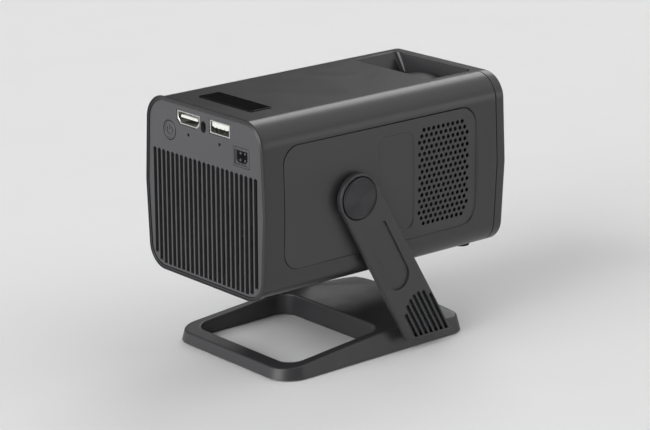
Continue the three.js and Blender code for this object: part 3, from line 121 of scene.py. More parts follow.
class ProjectorColours(bpy.types.PropertyGroup):
    """Colours of the visible pieces"""

    shell: colour("Shell", "Moulded body shell and bezel", "#2a2a2c")
    panel: colour("Side panels", "Moulded side panels", "#343436")
    # Lighter than the side panels: painted light from the lamp behind the rear face
    rear: colour("Rear panel", "Moulded rear panel, power inlet and power button", "#454547")
    stand: colour("Stand", "Arms and base", "#333335")
    gloss: colour("Gloss black", "Name plate, front panel and remote window", "#070708")
    black: colour("Black plastic", "Lens parts, fan and speakers", "#0b0b0c")
    rubber: colour("Rubber", "Feet and washers", "#1d1d1d")
    nickel: colour("Plated steel", "Socket shells, contacts and pivot plates", "#c9c9c6")
    cap: colour("Spun metal", "Hub caps, pins and screws", "#424244")
    aluminium: colour("Aluminium", "Heat sink and reflector", "#b4b7ba")
    board: colour("Circuit board", "Main board", "#1f4a33")
    white: colour("White plastic", "Socket tongues and lamp board", "#dcdcd6")
    phosphor: colour("Phosphor", "Lamp emitter", "#e3c64a")
    lcd: colour("Screen glass", "Picture panel", "#20242c")
    floor: colour("Floor", "Pale studio floor", "#f4f4f4")


# Outlines
def arc(u, v, radius, start, end, steps):
    angles = [start + (end - start) * i / steps for i in range(steps + 1)]
    return [(u + radius * math.cos(a), v + radius * math.sin(a)) for a in angles]


def circle(u, v, radius, sides):
    return arc(u, v, radius, 0, TURN * (sides - 1) / sides, sides - 1)


def quarter_round(radius, steps):
    """(forward, inward) pairs of a quarter circle from its flank to its face"""
    angles = [QUARTER * i / steps for i in range(steps + 1)]
    return [(radius * math.sin(a), radius * (1 - math.cos(a))) for a in angles]


def rounded_end(end, edge, steps):
    """(depth, inset) levels of a rounded edge that ends at a depth"""
    return [(end - edge + forward, inward) for forward, inward in quarter_round(edge, steps)]


def between(start, end, share):
    return tuple(a + (b - a) * share for a, b in zip(start, end))


def rounded_box(u0, u1, v0, v1, radius, steps, side_steps=1, grow=0):
    """Anticlockwise outline, moved out by grow; radius is one number, or four from the lower right corner on"""
    radii = [r + grow for r in (radius if isinstance(radius, tuple) else (radius,) * 4)]
    u0, u1, v0, v1 = u0 - grow, u1 + grow, v0 - grow, v1 + grow
    corners = [
        arc(u1 - radii[0], v0 + radii[0], radii[0], -QUARTER, 0, steps),
        arc(u1 - radii[1], v1 - radii[1], radii[1], 0, QUARTER, steps),
        arc(u0 + radii[2], v1 - radii[2], radii[2], QUARTER, 2 * QUARTER, steps),
        arc(u0 + radii[3], v0 + radii[3], radii[3], 2 * QUARTER, 3 * QUARTER, steps),
    ]
    points = []
    for i, corner in enumerate(corners):
        following = corners[(i + 1) % 4][0]
        points += corner + [between(corner[-1], following, k / side_steps) for k in range(1, side_steps)]
    return points


def bevelled_box(u0, u1, v0, v1, bevel):
    """A box with its two lower corners cut off"""
    return [(u0 + bevel, v0), (u1 - bevel, v0), (u1, v0 + bevel), (u1, v1), (u0, v1), (u0, v0 + bevel)]


# The crease halfway up the sides of the body, slightly soft
CREASE_Z = AXIS_Z
CREASE_SOFTNESS = 0.9 * MM
CREASE_HEIGHTS = [CREASE_Z + CREASE_SOFTNESS * share for share in (-3, -1, -0.5, 0, 0.5, 1, 3)]


def crease_offset(sizes, z):
    """How far a side stands out past its corners at height z"""
    low = BOTTOM_Z + sizes.bottom_radius
    high = TOP_Z - sizes.top_radius
    reach = CREASE_Z - low if z < CREASE_Z else high - CREASE_Z
    away = abs(z - CREASE_Z)
    if away < CREASE_SOFTNESS:
        away = CREASE_SOFTNESS / 2 + away * away / (2 * CREASE_SOFTNESS)
    return sizes.crease_rise * max(0, 1 - away / reach)


def upright_outline(y, low, low_radius, high, high_radius, steps, offset):
    """A symmetric outline in (y, z) whose corners have their centres at low and high; its sides are at
    y plus an offset that depends on the height"""
    right = arc(y - low_radius, low, low_radius, -QUARTER, 0, steps)
    right += [(y + offset(z), z) for z in CREASE_HEIGHTS]
    right += arc(y - high_radius, high, high_radius, 0, QUARTER, steps)
    return right + [(-u, v) for u, v in reversed(right)]


def body_outline(sizes, inset):
    """Cross-section of the body in (y, z), shrunk by inset"""
    return upright_outline(
        SIDE_Y - sizes.crease_rise - inset, BOTTOM_Z + sizes.bottom_radius, sizes.bottom_radius - inset,
        TOP_Z - sizes.top_radius, sizes.top_radius - inset, sizes.corner_steps, lambda z: crease_offset(sizes, z))


# Meshes
WELD = 0.001 * MM


def add_object(name, data):
    thing = bpy.data.objects.new(name, data)
    bpy.context.scene.collection.objects.link(thing)
    return thing


def new_piece(name, vertices, faces):
    """A closed mesh object with its faces turned outwards"""
    mesh = bpy.data.meshes.new(name)
    mesh.from_pydata([tuple(v) for v in vertices], [], faces)
    work = bmesh.new()
    work.from_mesh(mesh)
    bmesh.ops.remove_doubles(work, verts=work.verts, dist=WELD)
    bmesh.ops.dissolve_degenerate(work, edges=work.edges, dist=WELD / 2)
    bmesh.ops.recalc_face_normals(work, faces=work.faces)
    work.to_mesh(mesh)
    work.free()
    return add_object(name, mesh)


def place(axis, outline, depth):
    """The points of an outline at a depth along X, Y or Z"""
    at = "XYZ".index(axis)
    return [(*point[:at], depth, *point[at:]) for point in outline]


def loft(name, rings, closed=False):
    """Skins rings of equally many points; an open row of rings gets flat ends"""
    count = len(rings[0])
    vertices = [v for ring in rings for v in ring]
    faces = []
    for r in range(len(rings) if closed else len(rings) - 1):
        a = r * count
        b = ((r + 1) % len(rings)) * count
        for i in range(count):
            j = (i + 1) % count
            faces.append((a + i, a + j, b + j, b + i))
    if not closed:
        faces.append(tuple(range(count)))
        faces.append(tuple((len(rings) - 1) * count + i for i in range(count)))
    return new_piece(name, vertices, faces)


def skin(name, axis, outline, levels):
    """Lofts an outline along X, Y or Z through (depth, inset) levels; outline makes its points from an inset"""
    return loft(name, [place(axis, outline(inset), depth) for depth, inset in levels])


def slab(name, axis, outline, start, end):
    """An outline pushed along X, Y or Z from start to end"""
    return loft(name, [place(axis, outline, depth) for depth in (start, end)])


def lathe(name, axis, centre, profile, sides):
    """A profile of (distance along the axis, radius) turned about the axis; radius 0 closes an end"""
    vertices, rows, faces = [], [], []
    for along, radius in profile:
        angles = [TURN * i / sides for i in range(sides if radius else 1)]
        ring = place(axis, [(radius * math.cos(a), radius * math.sin(a)) for a in angles], along)
        rows.append(range(len(vertices), len(vertices) + len(ring)))
        vertices += [tuple(c + p for c, p in zip(centre, point)) for point in ring]
    following = rows[1:] + rows[:1] if profile[0][1] else rows[1:]
    for a, b in zip(rows, following):
        for i in range(sides):
            j = (i + 1) % sides
            face = list(dict.fromkeys((a[i % len(a)], a[j % len(a)], b[j % len(b)], b[i % len(b)])))
            if len(face) > 2:
                faces.append(face)
    return new_piece(name, vertices, faces)


def apply_modifiers(piece):
    graph = bpy.context.evaluated_depsgraph_get()
    mesh = bpy.data.meshes.new_from_object(piece.evaluated_get(graph))
    piece.modifiers.clear()
    old = piece.data
    piece.data = mesh
    mesh.name = piece.name
    bpy.data.meshes.remove(old)
    return piece


def discard(pieces):
    for piece in pieces:
        mesh = piece.data
        bpy.data.objects.remove(piece)
        bpy.data.meshes.remove(mesh)


def combine(piece, tools, operation="DIFFERENCE"):
    """Cuts tools from a piece, or joins them to it, and removes them"""
    for tool in tools:
        modifier = piece.modifiers.new("combine", "BOOLEAN")
        modifier.operation = operation
        modifier.object = tool
        modifier.solver = "EXACT"
    apply_modifiers(piece)
    discard(tools)


def joined(name, pieces):
    """Separate closed meshes as one object"""
    work = bmesh.new()
    for piece in pieces:
        work.from_mesh(piece.data)
    mesh = bpy.data.meshes.new(name)
    work.to_mesh(mesh)
    work.free()
    discard(pieces)
    return add_object(name, mesh)


def round_edges(piece, width):
    modifier = piece.modifiers.new("edges", "BEVEL")
    modifier.width = width
    modifier.segments = 2
    modifier.limit_method = "ANGLE"
    modifier.angle_limit = math.radians(35)
    modifier.use_clamp_overlap = True
    modifier.miter_outer = "MITER_ARC"
    return apply_modifiers(piece)


def smooth(piece, angle=32):
    """Shades a piece smoothly between edges sharper than the angle, with its large flat faces left flat"""
    for face in piece.data.polygons:
        face.use_smooth = True
    piece.data.set_sharp_from_angle(angle=math.radians(angle))
    modifier = piece.modifiers.new("normals", "WEIGHTED_NORMAL")
    modifier.weight = 100
    modifier.keep_sharp = True
    return apply_modifiers(piece)


def mirror(mesh):
    mesh.transform(Matrix.Diagonal((1, -1, 1, 1)))
    mesh.flip_normals()


def mirrored(piece, name):
    """A copy of a piece on the other side of the body"""
    mesh = piece.data.copy()
    mirror(mesh)
    return add_object(name, mesh)


def finish_piece(piece, body, node, slot, *materials):
    """Puts a piece on its body in the place of a CAD node, with its materials; its slot is not used"""
    piece.data.materials.clear()
    for material in materials:
        piece.data.materials.append(material)
    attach(piece, body)
    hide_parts(node)


def second_material(piece):
    """Gives every face of a piece the second material of the whole that it is joined to"""
    for face in piece.data.polygons:
        face.material_index = 1
    return piece


# Materials
def add_node(tree, kind, settings=None, links=None):
    """Adds a node; settings are input values or attributes by name, links are sockets by input name"""
    node = tree.nodes.new(kind)
    for name, value in (settings or {}).items():
        if isinstance(name, str) and hasattr(node, name) and name not in node.inputs:
            setattr(node, name, value)
        else:
            node.inputs[name].default_value = value
    for name, socket in (links or {}).items():
        tree.links.new(socket, node.inputs[name])
    return node


def new_material(name):
    material = bpy.data.materials.new(name)
    material.use_nodes = True
    tree = material.node_tree
    tree.nodes.clear()
    return material, tree, add_node(tree, "ShaderNodeTexCoord").outputs["Object"]


def finished(material, settings, links):
    """Ends a material with its shader"""
    tree = material.node_tree
    shader = add_node(tree, "ShaderNodeBsdfPrincipled", settings, links)
    add_node(tree, "ShaderNodeOutputMaterial", {}, {"Surface": shader.outputs["BSDF"]})
    return material


def grain_height(tree, position, grain, strength, blotch):
    """Bump of a grained mould: fine grain on top of a weak long wave"""
    fine = add_node(tree, "ShaderNodeTexNoise", {"Scale": 1 / grain, "Detail": 2, "Roughness": 0.55},
                    {"Vector": position})
    broad = add_node(tree, "ShaderNodeTexNoise", {"Scale": 1 / blotch, "Detail": 1}, {"Vector": position})
    total = add_node(tree, "ShaderNodeMath", {"operation": "MULTIPLY_ADD", 1: 0.06},
                     {0: broad.outputs["Fac"], 2: fine.outputs["Fac"]})
    bump = add_node(tree, "ShaderNodeBump", {"Strength": strength, "Distance": grain},
                    {"Height": total.outputs["Value"]})
    return bump.outputs["Normal"]


def spread(tree, position, size, low, high):
    """A number that drifts between low and high over the given size"""
    noise = add_node(tree, "ShaderNodeTexNoise", {"Scale": 1 / size, "Detail": 3}, {"Vector": position})
    scaled = add_node(tree, "ShaderNodeMapRange", {1: 0.3, 2: 0.7, 3: low, 4: high}, {0: noise.outputs["Fac"]})
    return scaled.outputs["Result"]


def tint(tree, fac, base, share):
    """The base colour, varied a little darker and lighter by share"""
    dark = [c * (1 - share) for c in base[:3]] + [1]
    light = [min(1, c * (1 + share)) for c in base[:3]] + [1]
    mix = add_node(tree, "ShaderNodeMix", {"data_type": "RGBA", 6: dark, 7: light}, {"Factor": fac})
    return mix.outputs[2]


def clouded(tree, position, size, base, share):
    """The base colour, drifting a little darker and lighter by share over the given size"""
    return tint(tree, spread(tree, position, size, 0, 1), base, share)


def moulded(name, base, grain, strength, low, high):
    """ABS, nylon or PBT from a spark-eroded mould, or paper pressed in one: an even fine grain, satin to matt,
    a little smoother where it is handled. The real grain of about 0.1 mm is drawn two to six times coarser,
    so that it shows."""
    material, tree, position = new_material(name)
    return finished(material, {"IOR": 1.53}, {
        "Base Color": clouded(tree, position, 18 * MM, base, 0.05),
        "Roughness": spread(tree, position, 9 * MM, low, high),
        "Normal": grain_height(tree, position, grain, strength, 6 * MM)})


def polished(name, base):
    """Cast acrylic or screen glass, polished: deep and glossy, with a few soft wipe marks in its gloss"""
    material, tree, position = new_material(name)
    ripple = add_node(tree, "ShaderNodeTexNoise", {"Scale": 1 / (5 * MM), "Detail": 1}, {"Vector": position})
    bump = add_node(tree, "ShaderNodeBump", {"Strength": 0.03, "Distance": 0.1 * MM},
                    {"Height": ripple.outputs["Fac"]})
    return finished(material, {"IOR": 1.49}, {
        "Base Color": clouded(tree, position, 6 * MM, base, 0.1),
        "Roughness": spread(tree, position, 3 * MM, 0.05, 0.14),
        "Normal": bump.outputs["Normal"]})


def spun_steel(name, base, centre):
    """Steel spun on a lathe: fine rings round the pivot that draw the light into wedges.
    The real rings are about 0.05 mm apart and are drawn 0.25 mm apart, so that they show."""
    material, tree, position = new_material(name)
    shifted = add_node(tree, "ShaderNodeVectorMath", {"operation": "SUBTRACT", 1: centre}, {0: position})
    flat = add_node(tree, "ShaderNodeVectorMath", {"operation": "MULTIPLY", 1: (1, 0, 1)},
                    {0: shifted.outputs["Vector"]})
    radius = add_node(tree, "ShaderNodeVectorMath", {"operation": "LENGTH"}, {0: flat.outputs["Vector"]})
    rings = add_node(tree, "ShaderNodeTexNoise", {"noise_dimensions": "1D", "Scale": 1 / (0.25 * MM), "Detail": 2},
                     {"W": radius.outputs["Value"]})
    bump = add_node(tree, "ShaderNodeBump", {"Strength": 0.12, "Distance": 0.05 * MM},
                    {"Height": rings.outputs["Fac"]})
    rough = add_node(tree, "ShaderNodeMapRange", {3: 0.3, 4: 0.42}, {0: rings.outputs["Fac"]})
    tangent = add_node(tree, "ShaderNodeTangent", {"direction_type": "RADIAL", "axis": "Y"})
    return finished(material, {"Metallic": 0.85, "Anisotropic": 0.75}, {
        "Base Color": clouded(tree, position, 4 * MM, base, 0.06),
        "Roughness": rough.outputs["Result"],
        "Tangent": tangent.outputs["Tangent"],
        "Normal": bump.outputs["Normal"]})


def satin_metal(name, base, low, high):
    """Pressed steel under a dull nickel plate, or extruded aluminium: bright, with fine tool marks and a
    faint cloudiness"""
    material, tree, position = new_material(name)
    marks = add_node(tree, "ShaderNodeTexNoise", {"Scale": 1 / (0.4 * MM), "Detail": 3}, {"Vector": position})
    bump = add_node(tree, "ShaderNodeBump", {"Strength": 0.08, "Distance": 0.05 * MM},
                    {"Height": marks.outputs["Fac"]})
    return finished(material, {"Metallic": 1}, {
        "Base Color": clouded(tree, position, 3 * MM, base, 0.05),
        "Roughness": spread(tree, position, 2 * MM, low, high),
        "Normal": bump.outputs["Normal"]})


def moulded_rubber(name, base):
    """Silicone rubber from a matt mould: dead matt, with a fine pitted skin and a little dust in it"""
    material, tree, position = new_material(name)
    return finished(material, {"IOR": 1.41, "Roughness": 0.85}, {
        "Base Color": clouded(tree, position, 2 * MM, base, 0.18),
        "Normal": grain_height(tree, position, 0.3 * MM, 0.35, 2 * MM)})


def clear_glass(name, hue):
    """Polished optical glass with a faint coating tint"""
    material, tree, position = new_material(name)
    return finished(material, {"Base Color": hue, "IOR": 1.52, "Transmission Weight": 0.9, "Coat Weight": 0.3}, {
        "Roughness": spread(tree, position, 10 * MM, 0.0, 0.03)})


def phosphor_layer(name, base):
    """Phosphor in silicone on the lamp: powdery yellow, finely speckled"""
    material, tree, position = new_material(name)
    speck = add_node(tree, "ShaderNodeTexVoronoi", {"Scale": 1 / (0.3 * MM)}, {"Vector": position})
    return finished(material, {"Roughness": 0.6, "IOR": 1.41}, {
        "Base Color": tint(tree, speck.outputs["Distance"], base, 0.15)})


def circuit_board(name, base):
    """Glass-fibre board under solder mask: glossy green over a faint 0.6 mm weave"""
    material, tree, position = new_material(name)
    weave = add_node(tree, "ShaderNodeTexChecker", {"Scale": 1 / (0.6 * MM)}, {"Vector": position})
    bump = add_node(tree, "ShaderNodeBump", {"Strength": 0.1, "Distance": 0.03 * MM},
                    {"Height": weave.outputs["Fac"]})
    return finished(material, {"Roughness": 0.3, "IOR": 1.5}, {
        "Base Color": clouded(tree, position, 5 * MM, base, 0.12),
        "Normal": bump.outputs["Normal"]})


def studio_floor(name, base):
    """Matt painted board, plain, with a faint roller texture"""
    material, tree, position = new_material(name)
    return finished(material, {"Roughness": 0.9, "IOR": 1.45, "Specular IOR Level": 0.2}, {
        "Base Color": clouded(tree, position, 60 * MM, base, 0.006)})


LOOKS = {}


def make_looks(colours):
    LOOKS.update(
        shell=moulded("abs_spark_grained_satin", colours.shell, 0.35 * MM, 0.03, 0.28, 0.31),
        panel=moulded("abs_spark_grained_matt", colours.panel, 0.3 * MM, 0.08, 0.38, 0.46),
        # The side-panel plastic made lighter: painted light on the rear panel, power inlet and power button
        rear=moulded("abs_grained_matt_painted_light", colours.rear, 0.3 * MM, 0.08, 0.38, 0.46),
        stand=moulded("glass_filled_nylon_moulded", colours.stand, 0.4 * MM, 0.07, 0.38, 0.46),
        gloss=polished("acrylic_cast_polished", colours.gloss),
        black=moulded("pbt_moulded_matt", colours.black, 0.25 * MM, 0.15, 0.45, 0.6),
        cone=moulded("paper_pressed_coated", colours.black, 0.6 * MM, 0.25, 0.85, 0.95),
        rubber=moulded_rubber("silicone_rubber_moulded", colours.rubber),
        nickel=satin_metal("steel_pressed_nickel_plated", colours.nickel, 0.22, 0.36),
        cap=spun_steel("steel_spun_dark", colours.cap, (PIVOT_X, 0, PIVOT_Z)),
        aluminium=satin_metal("aluminium_extruded_satin", colours.aluminium, 0.35, 0.5),
        board=circuit_board("glass_fibre_board_solder_mask", colours.board),
        white=moulded("lcp_moulded_white", colours.white, 0.3 * MM, 0.06, 0.35, 0.5),
        phosphor=phosphor_layer("phosphor_in_silicone", colours.phosphor),
        glass=clear_glass("optical_glass_polished", (0.9, 0.94, 0.96, 1)),
        lcd=polished("screen_glass_polarised", colours.lcd),
        floor=studio_floor("board_painted_matt", colours.floor),
    )


# Body shell with the focus well
SEAM_ROUND = ((0, 0.2 * MM), (0.08 * MM, 0.06 * MM), (0.2 * MM, 0))  # (away from the seam, inset) of its edges
WELL_FRONT_X = SEAM_X - 0.5 * MM
WELL_REAR_X = WELL_FRONT_X - 25.1 * MM
WELL_HALF_WIDTH = 24.5 * MM
WELL_DEPTH = 8.6 * MM
WELL_DRAW_IN = 5.6 * MM
WELL_CORNER = 2.6 * MM
WELL_EDGE = 0.45 * MM
WELL_LIP = 0.6 * MM
WELL_WALL_LEAN = 2 * MM
WELL_WALL_DROP = 0.12 * MM
WELL_FLOOR_CORNER = 1 * MM
WELL_BLOCK_WALL = 2.2 * MM
WELL_BLOCK_EDGE = 0.3 * MM
WELL_BLOCK_END_X = SEAM_X - 0.1 * MM
PLATE_SEAT_CORNER = 0.85 * MM

# Side panels and the pockets that hold them
PANEL_GROWTH = 0.2 * MM
PANEL_GAP_REAR = 0.55 * MM
PANEL_GAP_FRONT = 0.22 * MM
PANEL_BOW_SHARE = 0.62
PANEL_SINK = 0.55 * MM
PANEL_THICKNESS = 1 * MM
PANEL_BACK_EDGE = 0.1 * MM
POCKET_LEAN = 0.8
POCKET_SIDE_STEPS = 18
BOW_STEP = 2.9 * MM
BOW_CUTS = 9
HOLES_ACROSS = 11
HOLE_ROWS_EACH_SIDE = 8
HOLE_PITCH_X = 2.77 * MM
HOLE_PITCH_Z = 2.56 * MM
HOLE_FIELD_X = 31.35 * MM
HOLE_FIELD_Z = (PANEL_LOW.z + PANEL_HIGH.z) / 2
HOLE_SIDES = 20
WASHER_HOLE_RADIUS = 7.5 * MM
SOUND_WINDOW_MARGIN = 2.46 * MM
SOUND_WINDOW_CORNER = 4 * MM
RELIEF_BORDER = 0.7 * MM
RELIEF_DEPTH = 0.45 * MM
RELIEF_REAR_X = -5.25 * MM
RELIEF_FRONT_X = 14.35 * MM
RELIEF_MARGIN = 4.6 * MM
RELIEF_RADIUS = 4 * MM
GRILLE_THICKNESS = 0.45 * MM
GRILLE_MARGIN = 1.6 * MM
GRILLE_CORNER = 3 * MM


def edge_ring(sizes, x, inset):
    return place("X", body_outline(sizes, inset), x)


def shell_body(sizes):
    """The open tube of the body, rounded at its rear rim"""
    edge = sizes.rim_edge
    inner_edge = edge / 2
    ledge_x = REAR_HIGH.x + FIT
    rows = [(REAR_X + edge - forward, inward) for forward, inward in reversed(quarter_round(edge, 4))]
    rows += [(REAR_X + inward, sizes.rim_wall - inner_edge + forward)
             for forward, inward in quarter_round(inner_edge, 3)]
    rows += [(ledge_x, sizes.rim_wall), (ledge_x, sizes.wall), (SEAM_X, sizes.wall)]
    rows += [(SEAM_X - away, inset) for away, inset in SEAM_ROUND]
    return loft("main_shell_visual", [edge_ring(sizes, x, inset) for x, inset in reversed(rows)], closed=True)


def well_outline(depth, flare):
    """The well in (x, y) at a depth below the top; its front corners are rounded and end at the seam"""
    half = WELL_HALF_WIDTH - WELL_DRAW_IN * max(0, depth) / WELL_DEPTH + flare
    corner = WELL_CORNER + flare
    left = [(SEAM_X + OVERRUN, half - corner)]
    left += arc(SEAM_X - WELL_LIP - corner, half - corner, corner, 0, QUARTER, 8)
    left += arc(WELL_REAR_X - flare + corner, half - corner, corner, QUARTER, 2 * QUARTER, 8)
    return left + [(x, -y) for x, y in reversed(left)]


def well_cutter():
    """The funnel over the focus ring, flared at the top so that its rim is rounded"""
    levels = [(WELL_DEPTH, 0), (WELL_EDGE, 0)]
    levels += [(WELL_EDGE - forward, inward) for forward, inward in quarter_round(WELL_EDGE, 6)[1:]]
    levels.append((-OVERRUN, WELL_EDGE))
    return loft("well_cutter", [place("Z", well_outline(depth, flare), TOP_Z - depth) for depth, flare in levels])


def well_floor_cutter():
    """The opening below the funnel, in which the focus ring turns"""
    half = WELL_HALF_WIDTH - WELL_DRAW_IN
    outline = rounded_box(WELL_REAR_X + WELL_CORNER, SEAM_X + OVERRUN, -half, half, WELL_FLOOR_CORNER, 4)
    return slab("well_floor_cutter", "Z", outline, TOP_Z - WELL_DEPTH - 3 * OVERRUN, TOP_Z - WELL_DEPTH + OVERRUN / 2)


def field_outline(margin, radius):
    """The field of sound holes, grown by a margin"""
    across = HOLE_PITCH_X * (HOLES_ACROSS - 1) / 2 + margin
    along = HOLE_PITCH_Z * HOLE_ROWS_EACH_SIDE + margin
    return rounded_box(HOLE_FIELD_X - across, HOLE_FIELD_X + across, HOLE_FIELD_Z - along, HOLE_FIELD_Z + along,
                       radius, 8)


def panel_surface(sizes, z):
    """Half width of the projector at a side panel, which is bowed instead of creased"""
    reach = TOP_Z - sizes.top_radius - CREASE_Z
    share = max(0, 1 - ((z - CREASE_Z) / reach) ** 2)
    return SIDE_Y - sizes.crease_rise + sizes.crease_rise * PANEL_BOW_SHARE * share - PANEL_SINK


def shell_surface(sizes, z):
    return SIDE_Y - sizes.crease_rise + crease_offset(sizes, z)


def bow(piece, place_at):
    """Cuts a flat piece at many heights and moves every point from its level in Y to place_at(level, z)"""
    work = bmesh.new()
    work.from_mesh(piece.data)
    cuts = CREASE_HEIGHTS + [CREASE_Z + BOW_STEP * i for i in range(-BOW_CUTS, BOW_CUTS + 1)]
    for z in sorted(set(cuts)):
        everything = work.verts[:] + work.edges[:] + work.faces[:]
        bmesh.ops.bisect_plane(work, geom=everything, dist=WELD, plane_co=(0, 0, z), plane_no=(0, 0, 1))
    for vertex in work.verts:
        vertex.co.y = place_at(vertex.co.y, vertex.co.z)
    work.to_mesh(piece.data)
    work.free()


def pocket_cutter(sizes, side):
    """The pocket for a side panel; its rim slopes from the bowed panel out to the creased side"""
    base, wide = [
        rounded_box(PANEL_LOW.x - PANEL_GAP_REAR, PANEL_HIGH.x + PANEL_GAP_FRONT, PANEL_LOW.z - PANEL_GAP_FRONT,
                    PANEL_HIGH.z + PANEL_GAP_REAR, sizes.panel_radius, sizes.corner_steps, POCKET_SIDE_STEPS, grow)
        for grow in (0, OVERRUN)]
    flared = []
    for inner, outer in zip(base, wide):
        rise = shell_surface(sizes, inner[1]) - panel_surface(sizes, inner[1]) + OVERRUN
        flared.append(between(inner, outer, rise * POCKET_LEAN / OVERRUN))
    levels = ((-PANEL_THICKNESS - FIT, base), (0, base), (OVERRUN, flared))
    cutter = loft("pocket_cutter", [place("Y", outline, level) for level, outline in levels])
    bow(cutter, lambda level, z: (shell_surface(sizes, z) if level > OVERRUN / 2 else panel_surface(sizes, z)) + level)
    if side < 0:
        mirror(cutter.data)
    return cutter


class PROJECTOR_OT_shell(bpy.types.Operator):
    """Build the body shell with its lens well, side pockets and name plate seat"""

    bl_idname = "projector.shell"
    bl_label = "Body shell"

    def execute(self, context):
        sizes = context.scene.projector_sizes
        shell = shell_body(sizes)
        half = WELL_HALF_WIDTH + WELL_BLOCK_WALL
        block = rounded_box(-half, half, TOP_Z - WELL_DEPTH, TOP_Z - sizes.wall / 2, WELL_BLOCK_EDGE, 2)
        combine(shell, [slab("block", "X", block, WELL_REAR_X - WELL_BLOCK_WALL, WELL_BLOCK_END_X)], "UNION")
        combine(shell, [well_cutter(), well_floor_cutter()])
        seat = rounded_box(PLATE_LOW.x, PLATE_HIGH.x, PLATE_LOW.y, PLATE_HIGH.y, PLATE_SEAT_CORNER, 5, grow=FIT / 2)
        cutters = [slab("seat", "Z", seat, PLATE_LOW.z - FIT / 2, TOP_Z + OVERRUN)]
        cutters += [pocket_cutter(sizes, side) for _, side in SIDES]
        combine(shell, cutters)
        window = field_outline(SOUND_WINDOW_MARGIN, SOUND_WINDOW_CORNER)
        combine(shell, [slab("sound_windows", "Y", window, -SIDE_Y - OVERRUN, SIDE_Y + OVERRUN)])
        finish_piece(smooth(shell), "projector_head", "main_shell", "shell_plastic", LOOKS["shell"])
        return {"FINISHED"}


# Front bezel, and the front panel with a collar behind its lens window that ends just before the focus ring
BEZEL_X = SEAM_X + FIT
OPENING_LIP = 0.3 * MM
OPENING_RADIUS = 8 * MM
LEDGE = 2 * MM
WINDOW_RADIUS = 25.2 * MM
WINDOW_FLARE = 0.4 * MM
WINDOW_SIDES = 96
COLLAR_WALL = 1.2 * MM
COLLAR_GAP = 0.4 * MM
COLLAR_OVERLAP = 0.5 * MM
FRONT_PANEL_EDGE = 0.15 * MM


def well_front_wall():
    """The wall that closes the well at the front; its rear face leans"""
    top = TOP_Z - WELL_WALL_DROP
    low = TOP_Z - WELL_DEPTH
    wide = WELL_HALF_WIDTH - WELL_CORNER - FIT
    narrow = wide - WELL_DRAW_IN
    faces = [(WELL_FRONT_X - WELL_WALL_LEAN, WELL_FRONT_X), (BEZEL_X + OVERRUN, BEZEL_X + OVERRUN)]
    return loft("well_wall", [
        [(low_x, -narrow, low), (low_x, narrow, low), (top_x, wide, top), (top_x, -wide, top)]
        for low_x, top_x in faces])


class PROJECTOR_OT_bezel(bpy.types.Operator):
    """Build the front bezel and the glossy front panel"""

    bl_idname = "projector.bezel"
    bl_label = "Front bezel and panel"

    def execute(self, context):
        sizes = context.scene.projector_sizes
        steps = sizes.corner_steps
        half_y, half_z = FRONT_HIGH.y + FIT, (FRONT_HIGH.z - FRONT_LOW.z) / 2 + FIT

        def opening(inset, radius):
            low, high = AXIS_Z - half_z + inset + radius, AXIS_Z + half_z - inset - radius
            return upright_outline(half_y - inset, low, radius, high, radius, steps, lambda z: 0)

        rings = [edge_ring(sizes, BEZEL_X + away, inset) for away, inset in SEAM_ROUND]
        rings += [edge_ring(sizes, x, inset) for x, inset in rounded_end(FRONT_X, sizes.bezel_edge, 6)]
        rings += [place("X", opening(inset, radius), x) for x, inset, radius in (
            (FRONT_X, -OPENING_LIP, OPENING_RADIUS), (FRONT_X - OPENING_LIP, 0, OPENING_RADIUS),
            (FRONT_LOW.x - FIT, 0, OPENING_RADIUS), (FRONT_LOW.x - FIT, LEDGE, OPENING_RADIUS - LEDGE),
            (BEZEL_X, LEDGE, OPENING_RADIUS - LEDGE))]
        bezel = loft("front_bezel_visual", rings, closed=True)
        combine(bezel, [well_front_wall()], "UNION")
        through = rounded_box(-half_y, half_y, AXIS_Z - half_z, AXIS_Z + half_z, OPENING_RADIUS, steps, grow=-LEDGE)
        combine(bezel, [slab("through", "X", through, SEAM_X - 3 * OVERRUN, BEZEL_X + OVERRUN / 2)])
        finish_piece(smooth(bezel), "projector_head", "front_bezel", "shell_plastic", LOOKS["shell"])

        outline = rounded_box(-FRONT_HIGH.y, FRONT_HIGH.y, FRONT_LOW.z, FRONT_HIGH.z, OPENING_RADIUS - FIT, steps)
        panel = slab("front_panel_visual", "X", outline, FRONT_LOW.x, FRONT_HIGH.x)
        axis = (0, 0, AXIS_Z)
        collar_x = RING_HIGH.x + COLLAR_GAP
        collar_end_x = FRONT_LOW.x + COLLAR_OVERLAP
        collar_radius = WINDOW_RADIUS + COLLAR_WALL
        combine(panel, [lathe("collar", "X", axis, [
            (collar_x, 0), (collar_x, collar_radius), (collar_end_x, collar_radius), (collar_end_x, 0)],
            WINDOW_SIDES)], "UNION")
        combine(panel, [lathe("window", "X", axis, [
            (collar_x - OVERRUN, 0), (collar_x - OVERRUN, WINDOW_RADIUS), (FRONT_HIGH.x - WINDOW_FLARE, WINDOW_RADIUS),
            (FRONT_HIGH.x + WINDOW_FLARE, WINDOW_RADIUS + 2 * WINDOW_FLARE), (FRONT_HIGH.x + WINDOW_FLARE, 0)],
            WINDOW_SIDES)])
        round_edges(panel, FRONT_PANEL_EDGE)
        finish_piece(smooth(panel), "projector_head", "front_panel", "gloss_black", LOOKS["gloss"])
        return {"FINISHED"}


def hole_places():
    """Centres of the sound holes in (x, z), every second row shifted by half a pitch"""
    places = []
    for row in range(-HOLE_ROWS_EACH_SIDE, HOLE_ROWS_EACH_SIDE + 1):
        ends = 2 if abs(row) == HOLE_ROWS_EACH_SIDE else 0
        count = HOLES_ACROSS - ends - (row + HOLE_ROWS_EACH_SIDE) % 2
        places += [(HOLE_FIELD_X + HOLE_PITCH_X * (i - (count - 1) / 2), HOLE_FIELD_Z + HOLE_PITCH_Z * row)
                   for i in range(count)]
    return places


